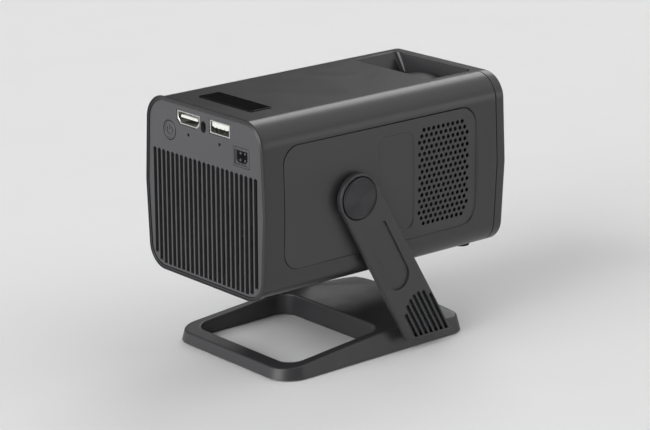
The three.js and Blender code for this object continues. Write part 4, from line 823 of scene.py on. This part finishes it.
def side_panel(sizes):
    """The left panel: a plate with rounded edges, a shallow relief and the sound holes, bowed at the end"""
    inner = -PANEL_THICKNESS
    levels = [(inner, PANEL_BACK_EDGE), (inner + PANEL_BACK_EDGE, 0)]
    levels += rounded_end(0, sizes.panel_edge, 4)
    panel = skin("left_side_panel_visual", "Y", lambda inset: rounded_box(
        PANEL_LOW.x, PANEL_HIGH.x, PANEL_LOW.z, PANEL_HIGH.z, sizes.panel_radius, sizes.corner_steps,
        grow=PANEL_GROWTH - inset), levels)
    thinned = field_outline(GRILLE_MARGIN, GRILLE_CORNER)
    combine(panel, [slab("thinned", "Y", thinned, inner - OVERRUN, -GRILLE_THICKNESS)])
    border = RELIEF_BORDER / 2
    relief = skin("relief", "Y", lambda inset: rounded_box(
        RELIEF_REAR_X, RELIEF_FRONT_X, PANEL_LOW.z + RELIEF_MARGIN, PANEL_HIGH.z - RELIEF_MARGIN, RELIEF_RADIUS, 8,
        grow=-inset), [(-RELIEF_DEPTH, border), (0, -border), (OVERRUN, -border)])
    holes = [circle(x, z, sizes.hole_radius, HOLE_SIDES) for x, z in hole_places()]
    holes.append(circle(PIVOT_X, PIVOT_Z, WASHER_HOLE_RADIUS, 48))
    holes = joined("holes", [slab("hole", "Y", hole, inner - OVERRUN, OVERRUN) for hole in holes])
    combine(panel, [relief, holes])
    bow(panel, lambda level, z: panel_surface(sizes, z) + level)
    return panel


class PROJECTOR_OT_side_panels(bpy.types.Operator):
    """Build the two side panels with their sound holes"""

    bl_idname = "projector.side_panels"
    bl_label = "Side panels"

    def execute(self, context):
        left = side_panel(context.scene.projector_sizes)
        right = mirrored(left, "right_side_panel_visual")
        for piece, node in ((left, "left_side_panel"), (right, "right_side_panel")):
            finish_piece(smooth(piece, 25), "projector_head", node, "panel_plastic", LOOKS["panel"])
        return {"FINISHED"}


# Rear panel with its vent, sockets and power button
REAR_RISE = 0.9 * MM
FACE_X = REAR_LOW.x - REAR_RISE
REAR_EDGE = 0.2 * MM
REAR_GAP = 0.1 * MM
SLOT_PITCH = 3.04 * MM
SLOTS_EACH_SIDE = 11
SLOT_TOP_Z = 89.6 * MM
SLOT_POINT = 0.8 * MM
SLOT_END_MARGIN = 0.8 * MM
RIB_DEPTH = 1.4 * MM
HOLLOW_BORDER = 0.6 * MM
PINHOLE_Z = 98.9 * MM
PINHOLE_RADIUS = 0.7 * MM
VIDEO_BEVEL = 1.9 * MM
DATA_CORNER = 0.55 * MM
SOCKET_WALL = 0.7 * MM
SOCKET_BACK = 1.6 * MM
SOCKET_EDGE = 0.12 * MM
TONGUE_CORNER = 0.15 * MM
CONTACT_MARGIN = 0.6 * MM
CONTACT_SHARE = 0.72
CONTACT_CORNER = 0.03 * MM
INLET_RISE = 0.12 * MM
INLET_CORNER = 0.5 * MM
INLET_FRAME = 0.75 * MM
INLET_FRAME_DEPTH = 0.5 * MM
INLET_EDGE = 0.15 * MM
INLET_BEVEL = 1.3 * MM
INLET_DEPTH = 7 * MM
INLET_SIDE_WALL = 1.6 * MM
INLET_FOOT_WALL = 1.5 * MM
INLET_HEAD_WALL = 1.3 * MM
PIN_OFFSET = 1.45 * MM
PIN_HALF = 0.5 * MM
PIN_CORNER = 0.15 * MM
PIN_START = 0.9 * MM
PIN_END_GAP = 0.1 * MM
REMOTE_RADIUS = 1.45 * MM
REMOTE_DEPTH = 1.8 * MM
REMOTE_EDGE = 0.3 * MM
REMOTE_EDGE_DEPTH = 0.12 * MM
BUTTON_RISE = 0.15 * MM
BUTTON_RADIUS = 3.95 * MM
BUTTON_GAP = 0.35 * MM
BUTTON_RIM = 0.55 * MM
BUTTON_DISH = 0.3 * MM
BUTTON_FLANGE = 0.8 * MM
BUTTON_STEM = 1 * MM
STEM_RADIUS = 1.4 * MM
SYMBOL_RADIUS = 1.75 * MM
SYMBOL_LINE = 0.42 * MM
SYMBOL_GAP = math.radians(38)
SYMBOL_BAR_LOW = 0.2 * MM
SYMBOL_BAR_HIGH = 2.3 * MM
SYMBOL_DEPTH = 0.25 * MM


def slot_outline(sizes, y):
    """A vent slot in (y, z), pointed at the top, with its foot following the round corners of the panel"""
    edge = sizes.rim_wall + FIT + SLOT_END_MARGIN
    radius = sizes.bottom_radius - edge
    straight = SIDE_Y - sizes.crease_rise - sizes.bottom_radius
    half = sizes.slot_width / 2
    past = max(0, abs(y) + half - straight)
    low = BOTTOM_Z + sizes.bottom_radius - math.sqrt(max(0, radius * radius - past * past))
    return [(y - half, low), (y + half, low), (y + half, SLOT_TOP_Z - SLOT_POINT), (y, SLOT_TOP_Z),
            (y - half, SLOT_TOP_Z - SLOT_POINT)]


def node_outline(node, inset, radius):
    """The face of a CAD node in (y, z), shrunk by inset"""
    low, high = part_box(node)
    return rounded_box(low.y + inset, high.y - inset, low.z + inset, high.z - inset, radius, 4)


def video_outline(inset):
    low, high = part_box("hdmi_shell")
    return bevelled_box(low.y + inset, high.y - inset, low.z + inset, high.z - inset, VIDEO_BEVEL)


def data_outline(inset):
    return node_outline("usb_shell", inset, DATA_CORNER - inset / 2)


def inlet_outline(inset):
    return node_outline("power_inlet", inset, INLET_CORNER)


def middle(node):
    """The middle of a CAD node in (y, z)"""
    low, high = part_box(node)
    return (low.y + high.y) / 2, (low.z + high.z) / 2


class PROJECTOR_OT_rear_panel(bpy.types.Operator):
    """Build the rear panel with its vent slots and socket openings"""

    bl_idname = "projector.rear_panel"
    bl_label = "Rear panel"

    def execute(self, context):
        sizes = context.scene.projector_sizes
        inset = sizes.rim_wall + REAR_GAP
        rings = [edge_ring(sizes, REAR_HIGH.x, inset)]
        rings += [edge_ring(sizes, FACE_X + REAR_EDGE - forward, inset + inward)
                  for forward, inward in quarter_round(REAR_EDGE, 3)]
        panel = loft("rear_panel_visual", rings)
        hollow = slab("hollow", "X", body_outline(sizes, inset + HOLLOW_BORDER), FACE_X + RIB_DEPTH,
                      REAR_HIGH.x + OVERRUN)
        above = rounded_box(-SIDE_Y, SIDE_Y, SLOT_TOP_Z + HOLLOW_BORDER / 2, TOP_Z, OVERRUN, 1)
        combine(hollow, [slab("above", "X", above, REAR_LOW.x - 2 * OVERRUN, REAR_HIGH.x + 2 * OVERRUN)])
        combine(panel, [hollow])

        def through(outline):
            return slab("opening", "X", outline, REAR_LOW.x - OVERRUN, REAR_HIGH.x + OVERRUN)

        button = middle("power_button")
        hole, flare = BUTTON_RADIUS + BUTTON_GAP, BUTTON_RADIUS + 2 * BUTTON_GAP
        cutters = [through(slot_outline(sizes, SLOT_PITCH * i)) for i in range(-SLOTS_EACH_SIDE, SLOTS_EACH_SIDE + 1)]
        cutters += [
            through(video_outline(-FIT / 2)),
            through(data_outline(-FIT / 2)),
            through(inlet_outline(-FIT / 2)),
            through(node_outline("ir_window", -FIT / 2, REMOTE_RADIUS + FIT / 2)),
            through(circle(*button, hole, 64)),
            lathe("button_flare", "X", (FACE_X, *button), [
                (-OVERRUN, 0), (-OVERRUN, flare), (0, flare), (BUTTON_GAP, hole), (BUTTON_GAP, 0)], 64),
        ]
        cutters += [through(circle(middle(socket)[0], PINHOLE_Z, PINHOLE_RADIUS, 20))
                    for socket in ("hdmi_shell", "usb_shell")]
        combine(panel, [joined("openings", cutters)])
        finish_piece(smooth(panel), "projector_head", "rear_panel", "panel_plastic", LOOKS["rear"])
        return {"FINISHED"}


def power_button():
    """A round button with a raised rim, the generic standby sign cut into its face, a flange and a stem"""
    y, z = middle("power_button")
    face = FACE_X - BUTTON_RISE
    floor = face + BUTTON_DISH
    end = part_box("power_button")[1].x - face - BUTTON_DISH
    flange = end - BUTTON_STEM
    profile = [(0, 0), (0, BUTTON_RADIUS - BUTTON_RIM - BUTTON_DISH), (-BUTTON_DISH, BUTTON_RADIUS - BUTTON_RIM),
               (-BUTTON_DISH, BUTTON_RADIUS - BUTTON_RIM / 3), (-BUTTON_DISH / 2, BUTTON_RADIUS),
               (flange - BUTTON_FLANGE, BUTTON_RADIUS), (flange - BUTTON_FLANGE, BUTTON_RADIUS + OVERRUN),
               (flange, BUTTON_RADIUS + OVERRUN), (flange, STEM_RADIUS), (end, STEM_RADIUS), (end, 0)]
    button = lathe("power_button_visual", "X", (floor, y, z), profile, 64)
    start, stop = QUARTER + SYMBOL_GAP, 5 * QUARTER - SYMBOL_GAP
    ring = arc(y, z, SYMBOL_RADIUS + SYMBOL_LINE / 2, start, stop, 40)
    ring += arc(y, z, SYMBOL_RADIUS - SYMBOL_LINE / 2, stop, start, 40)
    bar = rounded_box(y - SYMBOL_LINE / 2, y + SYMBOL_LINE / 2, z + SYMBOL_BAR_LOW, z + SYMBOL_BAR_HIGH,
                      SYMBOL_LINE / 5, 2)
    combine(button, [slab(name, "X", outline, face - OVERRUN, floor + SYMBOL_DEPTH)
                     for name, outline in (("sign_ring", ring), ("sign_bar", bar))])
    return smooth(button)


def socket_shell(name, outline):
    """A pressed shell with a rounded lip, closed at the back"""
    low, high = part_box(name)
    face = low.x - REAR_RISE
    socket = skin(f"{name}_visual", "X", outline, [
        (high.x, 0), (face + SOCKET_EDGE, 0), (face, SOCKET_EDGE), (face, SOCKET_WALL - SOCKET_EDGE),
        (face + SOCKET_EDGE, SOCKET_WALL), (high.x - SOCKET_BACK, SOCKET_WALL)])
    finish_piece(smooth(socket), "projector_head", name, "steel", LOOKS["nickel"])


def tongue(name, slot, contacts, rise):
    """The insulated tongue of a socket with its row of contacts, on its top or, with a rise below 0, under it"""
    low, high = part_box(name)
    face = FACE_X + SOCKET_WALL
    parts = [slab("tongue", "X", rounded_box(low.y, high.y, low.z, high.z, TONGUE_CORNER, 2), face, high.x)]
    pitch = (high.y - low.y - 2 * CONTACT_MARGIN) / contacts
    half = pitch * CONTACT_SHARE / 2
    base = high.z if rise > 0 else low.z
    for i in range(contacts):
        y = low.y + CONTACT_MARGIN + pitch * (i + 0.5)
        strip = rounded_box(y - half, y + half, min(base, base + rise), max(base, base + rise), CONTACT_CORNER, 1)
        parts.append(second_material(slab("contact", "X", strip, face, high.x)))
    whole = smooth(joined(f"{name}_visual", parts))
    finish_piece(whole, "projector_head", name, slot, LOOKS["white"], LOOKS["nickel"])


def power_inlet():
    """The inlet body with a thin raised frame round a socket with two bevelled lower corners and four pins"""
    low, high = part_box("power_inlet")
    face = FACE_X - INLET_RISE
    body = skin("power_inlet_visual", "X", inlet_outline, [
        (high.x, 0), (face + INLET_EDGE, 0), (face, INLET_EDGE), (face, INLET_FRAME),
        (face + INLET_FRAME_DEPTH, INLET_FRAME + INLET_EDGE)])
    y0, y1 = low.y + INLET_SIDE_WALL, high.y - INLET_SIDE_WALL
    z0, z1 = low.z + INLET_FOOT_WALL, high.z - INLET_HEAD_WALL
    combine(body, [slab("mouth", "X", bevelled_box(y0, y1, z0, z1, INLET_BEVEL), face - OVERRUN, face + INLET_DEPTH)])
    parts = [body]
    for across in (-1, 1):
        for up in (-1, 1):
            y, z = (y0 + y1) / 2 + PIN_OFFSET * across, (z0 + z1) / 2 + PIN_OFFSET * up
            pin = rounded_box(y - PIN_HALF, y + PIN_HALF, z - PIN_HALF, z + PIN_HALF, PIN_CORNER, 2)
            parts.append(second_material(slab("pin", "X", pin, face + PIN_START, face + INLET_DEPTH - PIN_END_GAP)))
    return smooth(joined("power_inlet_visual", parts))


def remote_window():
    front_x = FACE_X + REMOTE_DEPTH
    window = skin("ir_window_visual", "X", lambda inset: node_outline("ir_window", inset, REMOTE_RADIUS - inset), [
        (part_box("ir_window")[1].x, 0), (front_x, 0), (front_x - REMOTE_EDGE_DEPTH, REMOTE_EDGE)])
    return smooth(window)


class PROJECTOR_OT_sockets(bpy.types.Operator):
    """Build the sockets, the power inlet, the remote window and the power button"""

    bl_idname = "projector.sockets"
    bl_label = "Sockets and power button"

    def execute(self, context):
        socket_shell("hdmi_shell", video_outline)
        socket_shell("usb_shell", data_outline)
        tongue("hdmi_tongue", "black_plastic", 10, 0.2 * MM)
        tongue("usb_tongue", "white_plastic", 4, -0.35 * MM)
        finish_piece(power_inlet(), "projector_head", "power_inlet", "black_plastic", LOOKS["rear"], LOOKS["nickel"])
        finish_piece(remote_window(), "projector_head", "ir_window", "gloss_black", LOOKS["gloss"])
        finish_piece(power_button(), "power_button_body", "power_button", "shell_plastic", LOOKS["rear"])
        return {"FINISHED"}


# Arms; along runs down an arm from the pivot, across runs to its front
ARM_LEAN = math.radians(29.6)
ARM_END_RADIUS = 10.4 * MM
ARM_REAR_ACROSS = 10.1 * MM
ARM_FRONT_ACROSS_FOOT = 12.2 * MM
ARM_FOOT_Z = 5.4 * MM
ARM_THICKNESS = 2.55 * MM
ARM_BACK_EDGE = 0.3 * MM
RECESS_TOP = 16.9 * MM
RECESS_BOTTOM = 50.2 * MM
RECESS_HALF_WIDTH = 6.2 * MM
RECESS_CORNER = 1.4 * MM
RECESS_DEPTH = 0.8 * MM
GROOVE_COUNT = 7
GROOVE_FIRST = -5.2 * MM
GROOVE_PITCH = 2.55 * MM
GROOVE_WIDTH = 1.65 * MM
GROOVE_DEPTH = 1.5 * MM
GROOVE_END_Z = 6.4 * MM
GROOVE_ARCH_TOP = 57.1 * MM
GROOVE_ARCH_ACROSS = 2.2 * MM
GROOVE_ARCH_RADIUS = 8.3 * MM
CAP_RADIUS = 8.8 * MM
CAP_SEAT_RADIUS = 9.05 * MM
CAP_SEAT_FLARE = 0.45 * MM
CAP_DISH = 0.05 * MM
CAP_RIM = (  # (below the face, inside the rim) of its rounded rim and turned step, in mm
    (0.5, 0), (0.42, 0.04), (0.04, 0.42), (0, 0.5), (0, 0.7), (0.2, 0.9), (0.2, 1.1))


def arm_point(along, across):
    return (PIVOT_X + along * math.sin(ARM_LEAN) + across * math.cos(ARM_LEAN),
            PIVOT_Z - along * math.cos(ARM_LEAN) + across * math.sin(ARM_LEAN))


def foot_point(across, foot_z):
    """The point of an arm at a height, at a distance across"""
    return arm_point((PIVOT_Z - foot_z + across * math.sin(ARM_LEAN)) / math.cos(ARM_LEAN), across)


def arm_outline(inset):
    """The arm in (x, z), shrunk by inset, its foot cut level"""
    foot = ARM_FOOT_Z + inset
    rear = ARM_REAR_ACROSS - inset
    end = arc(0, 0, ARM_END_RADIUS - inset, 0, 2 * QUARTER, 36)
    end[-1] = (-rear, 0)
    points = [foot_point(-rear, foot), foot_point(ARM_FRONT_ACROSS_FOOT - inset, foot)]
    return points + [arm_point(-v, u) for u, v in end]


def recess_outline():
    """The long recess of an arm, round at its foot"""
    high = RECESS_TOP + RECESS_CORNER
    side = RECESS_HALF_WIDTH - RECESS_CORNER
    outline = arc(0, RECESS_BOTTOM - RECESS_HALF_WIDTH, RECESS_HALF_WIDTH, 2 * QUARTER, 0, 24)
    outline += arc(side, high, RECESS_CORNER, 0, -QUARTER, 6)
    outline += arc(-side, high, RECESS_CORNER, -QUARTER, -2 * QUARTER, 6)
    return [arm_point(v, u) for u, v in outline]


def groove_outline(index):
    """A groove near the foot of an arm; the round upper ends follow an arch"""
    across = GROOVE_FIRST + GROOVE_PITCH * index
    half = GROOVE_WIDTH / 2
    off = across - GROOVE_ARCH_ACROSS
    top = GROOVE_ARCH_TOP + GROOVE_ARCH_RADIUS - math.sqrt(GROOVE_ARCH_RADIUS ** 2 - off * off)
    upper = [arm_point(top + half - v, across + u) for u, v in arc(0, 0, half, 2 * QUARTER, 0, 8)]
    return [foot_point(across - half, GROOVE_END_Z), *upper, foot_point(across + half, GROOVE_END_Z)]


def hub_cap(name, side):
    """A spun cap with a fine rounded rim and a shallow turned step inside it"""
    thick = CAP_HIGH.y - CAP_LOW.y
    profile = [(0, 0), (0, CAP_RADIUS)]
    profile += [(thick - down * MM, CAP_RADIUS - inward * MM) for down, inward in CAP_RIM]
    profile.append((thick - CAP_DISH, 0))
    return smooth(lathe(f"{name}_hub_cap_visual", "Y", (PIVOT_X, 0, PIVOT_Z),
                        [(side * (CAP_LOW.y + along), radius) for along, radius in profile], 128))


class PROJECTOR_OT_arms(bpy.types.Operator):
    """Build the two arms and their spun hub caps"""

    bl_idname = "projector.arms"
    bl_label = "Arms and hub caps"

    def execute(self, context):
        edge = context.scene.projector_sizes.arm_edge
        inner = ARM_Y - ARM_THICKNESS
        past = ARM_Y + OVERRUN
        levels = [(inner, ARM_BACK_EDGE), (inner + ARM_BACK_EDGE, 0), *rounded_end(ARM_Y, edge, 4)]
        arm = skin("left_arm_visual", "Y", arm_outline, levels)
        cutters = [slab("recess", "Y", recess_outline(), ARM_Y - RECESS_DEPTH, past)]
        cutters += [slab("groove", "Y", groove_outline(i), ARM_Y - GROOVE_DEPTH, past) for i in range(GROOVE_COUNT)]
        seat_y, wide = CAP_LOW.y - FIT, CAP_SEAT_RADIUS + CAP_SEAT_FLARE
        cutters.append(lathe("cap_seat", "Y", (PIVOT_X, 0, PIVOT_Z), [
            (seat_y, 0), (seat_y, CAP_SEAT_RADIUS), (ARM_Y - CAP_SEAT_FLARE, CAP_SEAT_RADIUS), (ARM_Y, wide),
            (past, wide), (past, 0)], 96))
        combine(arm, cutters)
        right = mirrored(arm, "right_arm_visual")
        for piece, node in ((arm, "left_arm"), (right, "right_arm")):
            finish_piece(smooth(piece), "stand", node, "stand_plastic", LOOKS["stand"])
        for name, side in SIDES:
            finish_piece(hub_cap(name, side), "stand", f"{name}_hub_cap", "dark_steel", LOOKS["cap"])
        return {"FINISHED"}


# Base
BASE_BOTTOM_Z = 0.5 * MM
BASE_REAR_TOP_Z = 5.2 * MM
BASE_SLOPE_END_Z = 10.3 * MM
BASE_CREST_Z = 11.9 * MM
BASE_REAR_CORNER = 11.5 * MM
BASE_FRONT_CORNER = 8 * MM
BASE_DRAFT = 0.25
DRAFT_REACH = 4 * MM
BASE_FOOT_EDGE = 0.3 * MM
BASE_LEDGE = 0.2 * MM
NOSE_LENGTH = 11.1 * MM
WINDOW_REAR_RAIL = 8.2 * MM
WINDOW_FRONT_X = 2.35 * MM
WINDOW_SIDE_RAIL = 6.31 * MM
WINDOW_CORNER = 7 * MM
CROWN_DROP = 5 * MM
CROWN_POWER = 2.4
CROWN_FALL = math.radians(4.2)
CROWN_SOFTNESS = 0.6 * MM
RING_SIDE_STEPS = 16
DECK_RINGS = 26
DECK_CROWDING = 1.7


def soft_min(a, b, softness):
    """The smaller of two heights, blended where they cross"""
    gap = max(softness - abs(a - b), 0) / softness
    return min(a, b) - gap * gap * softness / 4


def base_top(x, y):
    """Height of the base's upper surface"""
    crest_x = BASE_HIGH.x - NOSE_LENGTH
    if x <= WINDOW_FRONT_X:
        share = (x - BASE_LOW.x) / (WINDOW_FRONT_X - BASE_LOW.x)
        profile = BASE_REAR_TOP_Z + (BASE_SLOPE_END_Z - BASE_REAR_TOP_Z) * share
    elif x <= crest_x:
        share = (x - WINDOW_FRONT_X) / (crest_x - WINDOW_FRONT_X)
        profile = BASE_SLOPE_END_Z + (BASE_CREST_Z - BASE_SLOPE_END_Z) * share
    else:
        share = min(1, (x - crest_x) / NOSE_LENGTH)
        profile = BASE_BOTTOM_Z + (BASE_CREST_Z - BASE_BOTTOM_Z) * math.sqrt(max(0, 1 - share * share))
    crown = BASE_CREST_Z - CROWN_DROP * abs(y / BASE_HIGH.y) ** CROWN_POWER + (crest_x - x) * math.tan(CROWN_FALL)
    return max(BASE_BOTTOM_Z, soft_min(profile, crown, CROWN_SOFTNESS))


def base_outline(inset, steps):
    corners = (BASE_FRONT_CORNER, BASE_FRONT_CORNER, BASE_REAR_CORNER, BASE_REAR_CORNER)
    return rounded_box(BASE_LOW.x, BASE_HIGH.x, -BASE_HIGH.y, BASE_HIGH.y, corners, steps, RING_SIDE_STEPS, -inset)


def window_outline(grow, steps):
    half = BASE_HIGH.y - WINDOW_SIDE_RAIL
    return rounded_box(BASE_LOW.x + WINDOW_REAR_RAIL, WINDOW_FRONT_X, -half, half, WINDOW_CORNER, steps,
                       RING_SIDE_STEPS, grow)


def drafted_ring(inward, down, steps):
    """Points beside the top edge of the base, inward of its leaning wall and down from its deck"""
    ring = []
    for outer, inner in zip(base_outline(0, steps), base_outline(DRAFT_REACH, steps)):
        point = outer
        for _ in range(4):
            lean = BASE_DRAFT * (base_top(*point) - BASE_BOTTOM_Z)
            point = between(outer, inner, lean / DRAFT_REACH)
        point = between(outer, inner, (lean + inward - BASE_DRAFT * down) / DRAFT_REACH)
        ring.append((*point, max(BASE_BOTTOM_Z + BASE_LEDGE, base_top(*point) - down)))
    return ring


class PROJECTOR_OT_base(bpy.types.Operator):
    """Build the wedge base with its window, crowned deck and rounded nose"""

    bl_idname = "projector.base"
    bl_label = "Stand base"

    def execute(self, context):
        sizes = context.scene.projector_sizes
        steps, edge, window_edge = sizes.corner_steps, sizes.base_edge, sizes.window_edge
        rings = [place("Z", base_outline(BASE_FOOT_EDGE, steps), BASE_BOTTOM_Z),
                 place("Z", base_outline(0, steps), BASE_BOTTOM_Z + BASE_LEDGE)]
        rings += [drafted_ring(inward, edge - forward, steps) for forward, inward in quarter_round(edge, 5)]
        rim = rings[-1]
        near_window = window_outline(window_edge, steps)
        for k in range(1, DECK_RINGS + 1):
            share = (k / DECK_RINGS) ** DECK_CROWDING
            points = [between(start[:2], end, share) for start, end in zip(rim, near_window)]
            rings.append([(*point, base_top(*point)) for point in points])
        for forward, inward in quarter_round(window_edge, 4)[1:]:
            outline = window_outline(window_edge - forward, steps)
            rings.append([(*point, base_top(*point) - inward) for point in outline])
        rings.append(place("Z", window_outline(0, steps), BASE_BOTTOM_Z))
        base = loft("stand_base_visual", rings, closed=True)
        finish_piece(smooth(base, 40), "stand", "stand_base", "stand_plastic", LOOKS["stand"])
        return {"FINISHED"}


# Name plate, focus ring and front lens
PLATE_EDGE = 0.12 * MM
PLATE_CORNER = 0.8 * MM
RING_BORE = 24.3 * MM
RING_HUB = 2.2 * MM
RING_RIM = 2.8 * MM
RING_WEB = 2.4 * MM
RING_EDGE = 0.9 * MM
LENS_RIM = 2.4 * MM
LENS_HOLLOW = 1.6 * MM
LENS_STEPS = 14


class PROJECTOR_OT_name_plate(bpy.types.Operator):
    """Build the glossy plate on the top"""

    bl_idname = "projector.name_plate"
    bl_label = "Name plate"

    def execute(self, context):
        plate = skin("name_plate_visual", "Z", lambda inset: rounded_box(
            PLATE_LOW.x, PLATE_HIGH.x, PLATE_LOW.y, PLATE_HIGH.y, PLATE_CORNER, 6, grow=-inset),
            [(PLATE_LOW.z, 0), *rounded_end(PLATE_HIGH.z, PLATE_EDGE, 3)])
        finish_piece(smooth(plate), "projector_head", "name_plate", "gloss_black", LOOKS["gloss"])
        return {"FINISHED"}


class PROJECTOR_OT_focus_ring(bpy.types.Operator):
    """Build the focus ring: a hub and a rounded rim on a thin web"""

    bl_idname = "projector.focus_ring"
    bl_label = "Focus ring"

    def execute(self, context):
        radius = RING_HIGH.z - AXIS_Z
        width = RING_HIGH.x - RING_LOW.x
        hub, rim, tread = RING_BORE + RING_HUB, radius - RING_RIM, radius - RING_EDGE
        web_rear, web_front = width / 2 - RING_WEB / 2, width / 2 + RING_WEB / 2
        profile = [(0, RING_BORE), (0, hub), (web_rear, hub), (web_rear, rim), (0, rim)]
        profile += arc(RING_EDGE, tread, RING_EDGE, 2 * QUARTER, QUARTER, 6)
        profile += arc(width - RING_EDGE, tread, RING_EDGE, QUARTER, 0, 6)
        profile += [(width, rim), (web_front, rim), (web_front, hub), (width, hub), (width, RING_BORE)]
        ring = lathe("focus_ring_visual", "X", (RING_LOW.x, 0, AXIS_Z), profile, 160)
        finish_piece(smooth(ring), "focus_ring_body", "focus_ring", "black_plastic", LOOKS["black"])
        return {"FINISHED"}


class PROJECTOR_OT_front_lens(bpy.types.Operator):
    """Build the front lens, hollow behind and bulging in front"""

    bl_idname = "projector.front_lens"
    bl_label = "Front lens"

    def execute(self, context):
        low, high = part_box("front_lens")
        radius = (high.y - low.y) / 2
        bulge = high.x - low.x - LENS_RIM
        shares = [i / LENS_STEPS for i in range(LENS_STEPS + 1)]
        profile = [(LENS_HOLLOW * (1 - s * s), radius * s) for s in shares]
        profile += [(LENS_RIM + bulge * (1 - s * s), radius * s) for s in reversed(shares)]
        lens = lathe("front_lens_visual", "X", (low.x, 0, AXIS_Z), profile, 128)
        finish_piece(smooth(lens), "lens_unit", "front_lens", "clear_glass", LOOKS["glass"])
        return {"FINISHED"}


# Finishes of the CAD nodes that stay
SIDE_NAMES = [name for name, _ in SIDES]
NODE_LOOKS = {
    "black": ["power_switch", "fan_frame", "fan_rotor", "optical_housing", "lens_holder", "lens_barrel"],
    "cone": [f"{side}_speaker" for side in SIDE_NAMES],
    "rubber": [f"{part}_foot_{i}" for part in ("base", "body") for i in range(1, 5)]
              + [f"{side}_friction_washer" for side in SIDE_NAMES],
    "nickel": [f"{side}_pivot_plate" for side in SIDE_NAMES],
    "cap": [f"{side}_{part}" for side in SIDE_NAMES for part in ("pivot_pin", "arm_screw_1", "arm_screw_2")],
    "aluminium": ["heat_sink", "led_reflector"],
    "board": ["main_board"],
    "white": ["led_board"],
    "glass": ["rear_lens", "condenser_lens", "front_fresnel", "rear_fresnel"],
    "lcd": ["lcd_panel"],
    "phosphor": ["led_emitter"],
}


class PROJECTOR_OT_node_finishes(bpy.types.Operator):
    """Give the CAD nodes that stay their materials"""

    bl_idname = "projector.node_finishes"
    bl_label = "Finishes of carried-over parts"

    def execute(self, context):
        for look, names in NODE_LOOKS.items():
            for name in names:
                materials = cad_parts[name].data.materials
                materials.clear()
                materials.append(LOOKS[look])
        return {"FINISHED"}


# Stage
CAMERA_PLACE = (-0.63250, -0.73485, 0.34504)
CAMERA_HEADING = math.radians(49.363)
CAMERA_TILT = math.radians(16.732)
CAMERA_ROLL = math.radians(-0.181)
CAMERA_LENS = 130.06
CAMERA_SENSOR = 36
FLOOR_REACH = 6
WORLD_COLOUR = "#f4f4f6"
WORLD_STRENGTH = 0.03
LAMPS = (  # name, direction from the projector to the lamp, strength, angle in degrees that it fills
    ("ceiling_softbox", (0, 0, 1), 0.5, 120),
    ("overhead_softbox", (0.62, -0.42, 0.66), 0.9, 70),
    ("back_softbox", (0.66, 0.47, 0.585), 0.68, 32),
    ("rear_softbox", (-0.93, -0.06, 0.36), 2.7, 50),
    ("left_softbox", (-0.66, 0.72, 0.24), 0.4, 50),
    ("right_softbox", (0.66, -0.73, 0.0), 0.28, 26),
)


class PROJECTOR_OT_stage(bpy.types.Operator):
    """Build the pale floor, the soft lamps and the camera"""

    bl_idname = "projector.stage"
    bl_label = "Stage"

    def execute(self, context):
        scene = context.scene
        floor = new_piece("floor", [(x * FLOOR_REACH, y * FLOOR_REACH, 0)
                                    for x, y in ((-1, -1), (1, -1), (1, 1), (-1, 1))], [(0, 1, 2, 3)])
        floor.data.materials.append(LOOKS["floor"])
        world = bpy.data.worlds.new("studio")
        world.use_nodes = True
        background = world.node_tree.nodes["Background"]
        background.inputs["Color"].default_value = linear(WORLD_COLOUR)
        background.inputs["Strength"].default_value = WORLD_STRENGTH
        scene.world = world
        for name, towards, strength, width in LAMPS:
            lamp = bpy.data.lights.new(name, "SUN")
            lamp.energy = strength
            lamp.angle = math.radians(width)
            add_object(name, lamp).rotation_euler = Vector(towards).to_track_quat("Z", "Y").to_euler()
        data = bpy.data.cameras.new("camera")
        data.sensor_width = CAMERA_SENSOR
        data.lens = CAMERA_LENS
        camera = add_object("camera", data)
        turn = (Matrix.Rotation(CAMERA_HEADING - QUARTER, 4, "Z") @ Matrix.Rotation(QUARTER - CAMERA_TILT, 4, "X")
                @ Matrix.Rotation(CAMERA_ROLL, 4, "Z"))
        camera.matrix_world = Matrix.Translation(CAMERA_PLACE) @ turn
        scene.camera = camera
        scene.view_settings.view_transform = "Standard"
        return {"FINISHED"}


OPERATORS = (
    PROJECTOR_OT_shell,
    PROJECTOR_OT_bezel,
    PROJECTOR_OT_side_panels,
    PROJECTOR_OT_rear_panel,
    PROJECTOR_OT_sockets,
    PROJECTOR_OT_arms,
    PROJECTOR_OT_base,
    PROJECTOR_OT_name_plate,
    PROJECTOR_OT_focus_ring,
    PROJECTOR_OT_front_lens,
    PROJECTOR_OT_node_finishes,
    PROJECTOR_OT_stage,
)


class PROJECTOR_PT_panel(bpy.types.Panel):
    """Lists the steps that build the projector"""

    bl_idname = "PROJECTOR_PT_panel"
    bl_label = "Portable projector"
    bl_space_type = "VIEW_3D"
    bl_region_type = "UI"
    bl_category = "Projector"

    def draw(self, context):
        for operator in OPERATORS:
            self.layout.operator(operator.bl_idname)
        for group in (context.scene.projector_sizes, context.scene.projector_colours):
            for name in group.__annotations__:
                self.layout.prop(group, name)


CLASSES = (ProjectorSizes, ProjectorColours, *OPERATORS, PROJECTOR_PT_panel)


def register():
    for entry in CLASSES:
        bpy.utils.register_class(entry)
    bpy.types.Scene.projector_sizes = PointerProperty(type=ProjectorSizes)
    bpy.types.Scene.projector_colours = PointerProperty(type=ProjectorColours)


def unregister():
    del bpy.types.Scene.projector_colours
    del bpy.types.Scene.projector_sizes
    for entry in reversed(CLASSES):
        bpy.utils.unregister_class(entry)


def main():
    register()
    make_looks(bpy.context.scene.projector_colours)
    for operator in OPERATORS:
        group, name = operator.bl_idname.split(".")
        getattr(getattr(bpy.ops, group), name)()


if __name__ == "__main__":
    main()
